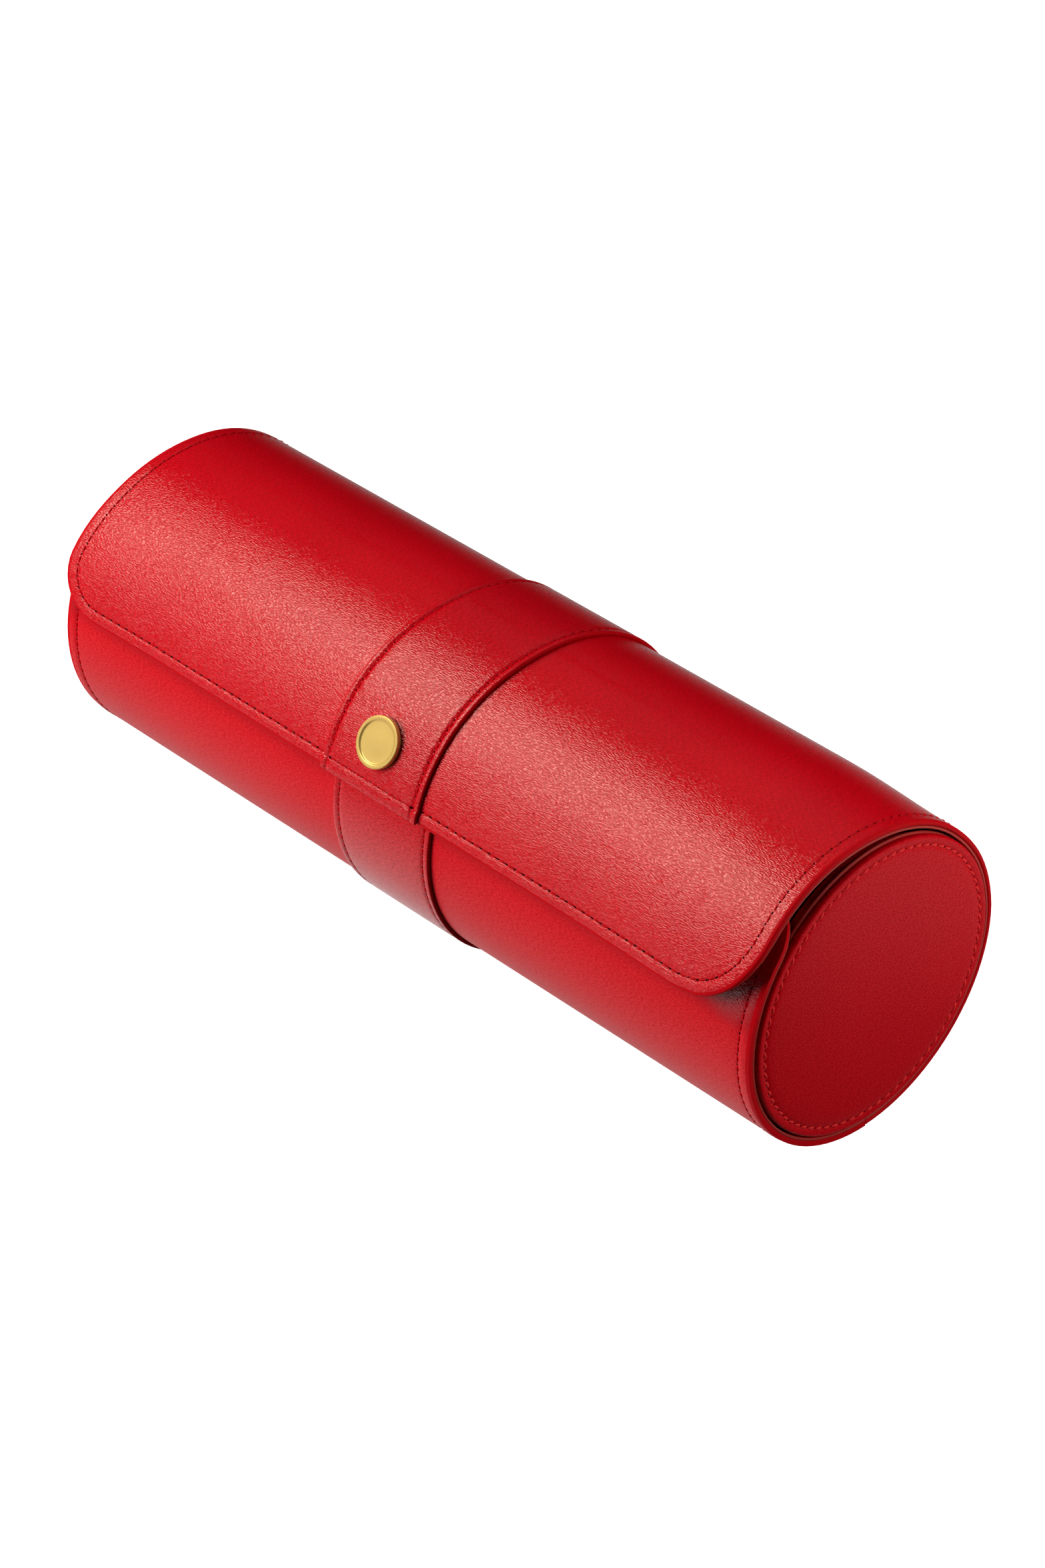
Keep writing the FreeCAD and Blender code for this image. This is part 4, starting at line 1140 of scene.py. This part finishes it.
# %% [markdown]
# ## Hidden hardware
# The magnets and the plate behind the badge are rigid and their CAD shapes are right, so they stay and
# only get their metal.

# %% Metal for the hardware
for node_name in ("flap_magnets", "lip_magnets", "badge_clinch"):
    dress(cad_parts[node_name], nickel_steel)
print("hardware dressed")

# %% [markdown]
# ## Floor
# The roll stands on white paper that glows a little, as paper lit from behind does, so that hardly any
# shadow is left on it. A large plane does for the paper. It is hidden from the light that bounces, because
# the light it throws back on the roll is set further down by itself.

# %% Floor
FLOOR_SIZE = 8
FLOOR_DROP = 0.2 * MM
PAPER_GLOW = 0.85
pale_floor = make_mottled("white_seamless_paper", "#e6e6e6", "#e0e0e0", 0.9, 4.0, 0.0)
glow = pale_floor.node_tree.nodes["Principled BSDF"]
glow.inputs["Emission Color"].default_value = (1, 1, 1, 1)
glow.inputs["Emission Strength"].default_value = PAPER_GLOW
bpy.ops.object.select_all(action="DESELECT")
bpy.ops.mesh.primitive_plane_add(size=FLOOR_SIZE, location=(0, 0, cad_low[2] - FLOOR_DROP))
bpy.ops.object.transform_apply(location=True, rotation=False, scale=False)
floor = bpy.context.object
floor.name = "floor"
floor.visible_diffuse = False
floor.visible_glossy = False
floor.visible_shadow = False
dress(floor, pale_floor)
print("floor:", FLOOR_SIZE, "m across")

# %% [markdown]
# ## Camera
# The camera stands to the right, in front and above, about a metre away, and looks at a point near the
# middle of the roll. Its focal length was found in pixels of the picture, so it is turned to millimetres
# on the sensor.

# %% Camera
AZIMUTH = math.radians(46.26)
ELEVATION = math.radians(35.21)
CAMERA_DISTANCE = 1.0633
FOCAL_PIXELS = 6702
IMAGE_HEIGHT = 2352
SENSOR = 36
target = Vector((4.45, 0, 38.07)) * MM
back = Vector((math.sin(AZIMUTH) * math.cos(ELEVATION), -math.cos(AZIMUTH) * math.cos(ELEVATION),
               math.sin(ELEVATION)))
bpy.ops.object.camera_add(location=target + back * CAMERA_DISTANCE)
camera = bpy.context.object
camera.rotation_euler = back.to_track_quat("Z", "Y").to_euler()
camera.data.sensor_width = SENSOR
camera.data.lens = SENSOR * FOCAL_PIXELS / IMAGE_HEIGHT
bpy.context.scene.camera = camera
print("lens:", round(camera.data.lens, 1), "mm")

# %% [markdown]
# ## Light
# Leather has two things to match, the colour of the hide and the shine on it. Each light here gives only
# one of them, by hiding it from the other kind of ray, so that the two can be set apart. The key light, low
# in front on the left, gives most of the colour, and lights on the right, at the top and on the left
# open up the shade. A large, slightly warm light higher up gives the broad shine along the flap. Three
# small cards shine in the dark, shiny patch below the flap's right corner, in the badge and, from the
# paper, in the right end.

# %% Light
KEY_POWER = 23.0
SHINE_POWER = 8.8
RIGHT_POWER = 0.46
TOP_POWER = 3.4
LEFT_POWER = 0.49
CARD_POWER = 0.06
CORNER_POWER = 0.032
BADGE_POWER = 0.025
LEFT_END = Vector((-0.08, 0, 0.06))
CORNER_PATCH_SPOT = Vector((0.112, -0.038, 0.054))
BESIDE_RIGHT_END = Vector((0.23, 0.11, 0.07))


def soft_light(name, towards, distance, size, power, shines, around=target):
    towards = Vector(towards).normalized()
    bpy.ops.object.light_add(type="AREA", location=around + towards * distance)
    lamp = bpy.context.object
    lamp.name = name
    lamp.rotation_euler = towards.to_track_quat("Z", "Y").to_euler()
    lamp.data.shape = "RECTANGLE"
    lamp.data.size, lamp.data.size_y = size
    lamp.data.energy = power
    lamp.visible_glossy = shines
    lamp.visible_diffuse = not shines
    lamp.visible_camera = False
    return lamp


soft_light("key_light", (-0.62, -0.72, 0.30), 1.3, (0.8, 0.8), KEY_POWER, False)
sheen = soft_light("sheen_light", (-0.525, -0.46, 0.716), 1.2, (0.6, 0.5), SHINE_POWER, True)
sheen.data.color = (1.0, 0.97, 0.84)
soft_light("right_light", (0.88, 0.33, 0.34), 0.31, (0.2, 0.2), RIGHT_POWER, False)
soft_light("top_light", (-0.40, 0.45, 0.80), 0.9, (0.6, 0.6), TOP_POWER, False)
soft_light("left_light", (-0.60, -0.35, 0.72), 0.45, (0.3, 0.3), LEFT_POWER, False, LEFT_END)
corner_card = soft_light("front_card", (-0.59, -0.80, -0.083), 0.30, (0.06, 0.06), CORNER_POWER, True,
                         CORNER_PATCH_SPOT)
corner_card.data.color = (1.0, 0.70, 0.70)
soft_light("badge_card", (-0.59, -0.766, 0.255), 0.5, (0.12, 0.12), BADGE_POWER, True)
soft_light("paper_card", (0.10, 0.08, -1.0), 0.075, (0.12, 0.16), CARD_POWER, True, BESIDE_RIGHT_END)

# %% [markdown]
# White paper below the roll and to its left throws light back on the lower panel and shows as a pale
# haze where leather is seen at a slant. The world stands in for it: dim all round, brighter that way.

# %% Light from the paper
WORLD_LEVEL = 0.005
PAPER_LEVEL = 0.78
PAPER_RIGHT_SHARE = 0.05
world = bpy.data.worlds.new("studio")
bpy.context.scene.world = world
world.use_nodes = True
way = add_node(world, "ShaderNodeSeparateXYZ", None,
               {0: add_node(world, "ShaderNodeTexCoord").outputs["Generated"]})
below = ramp(world, way.outputs["Z"], 0, 1, -0.15, -0.6, "SMOOTHSTEP")
right_level = PAPER_RIGHT_SHARE * PAPER_LEVEL
leftward = ramp(world, way.outputs["X"], right_level, PAPER_LEVEL, 0.5, -0.4, "SMOOTHSTEP")
level = add_node(world, "ShaderNodeMath", {"operation": "MULTIPLY_ADD"},
                 {0: below, 1: leftward, 2: WORLD_LEVEL})
surround = world.node_tree.nodes["Background"]
surround.inputs["Color"].default_value = (1, 1, 1, 1)
wire(world, surround, {"Strength": level.outputs[0]})
bpy.context.scene.view_settings.view_transform = "Standard"
print("paper light", PAPER_LEVEL, "below on the left,", WORLD_LEVEL, "elsewhere")
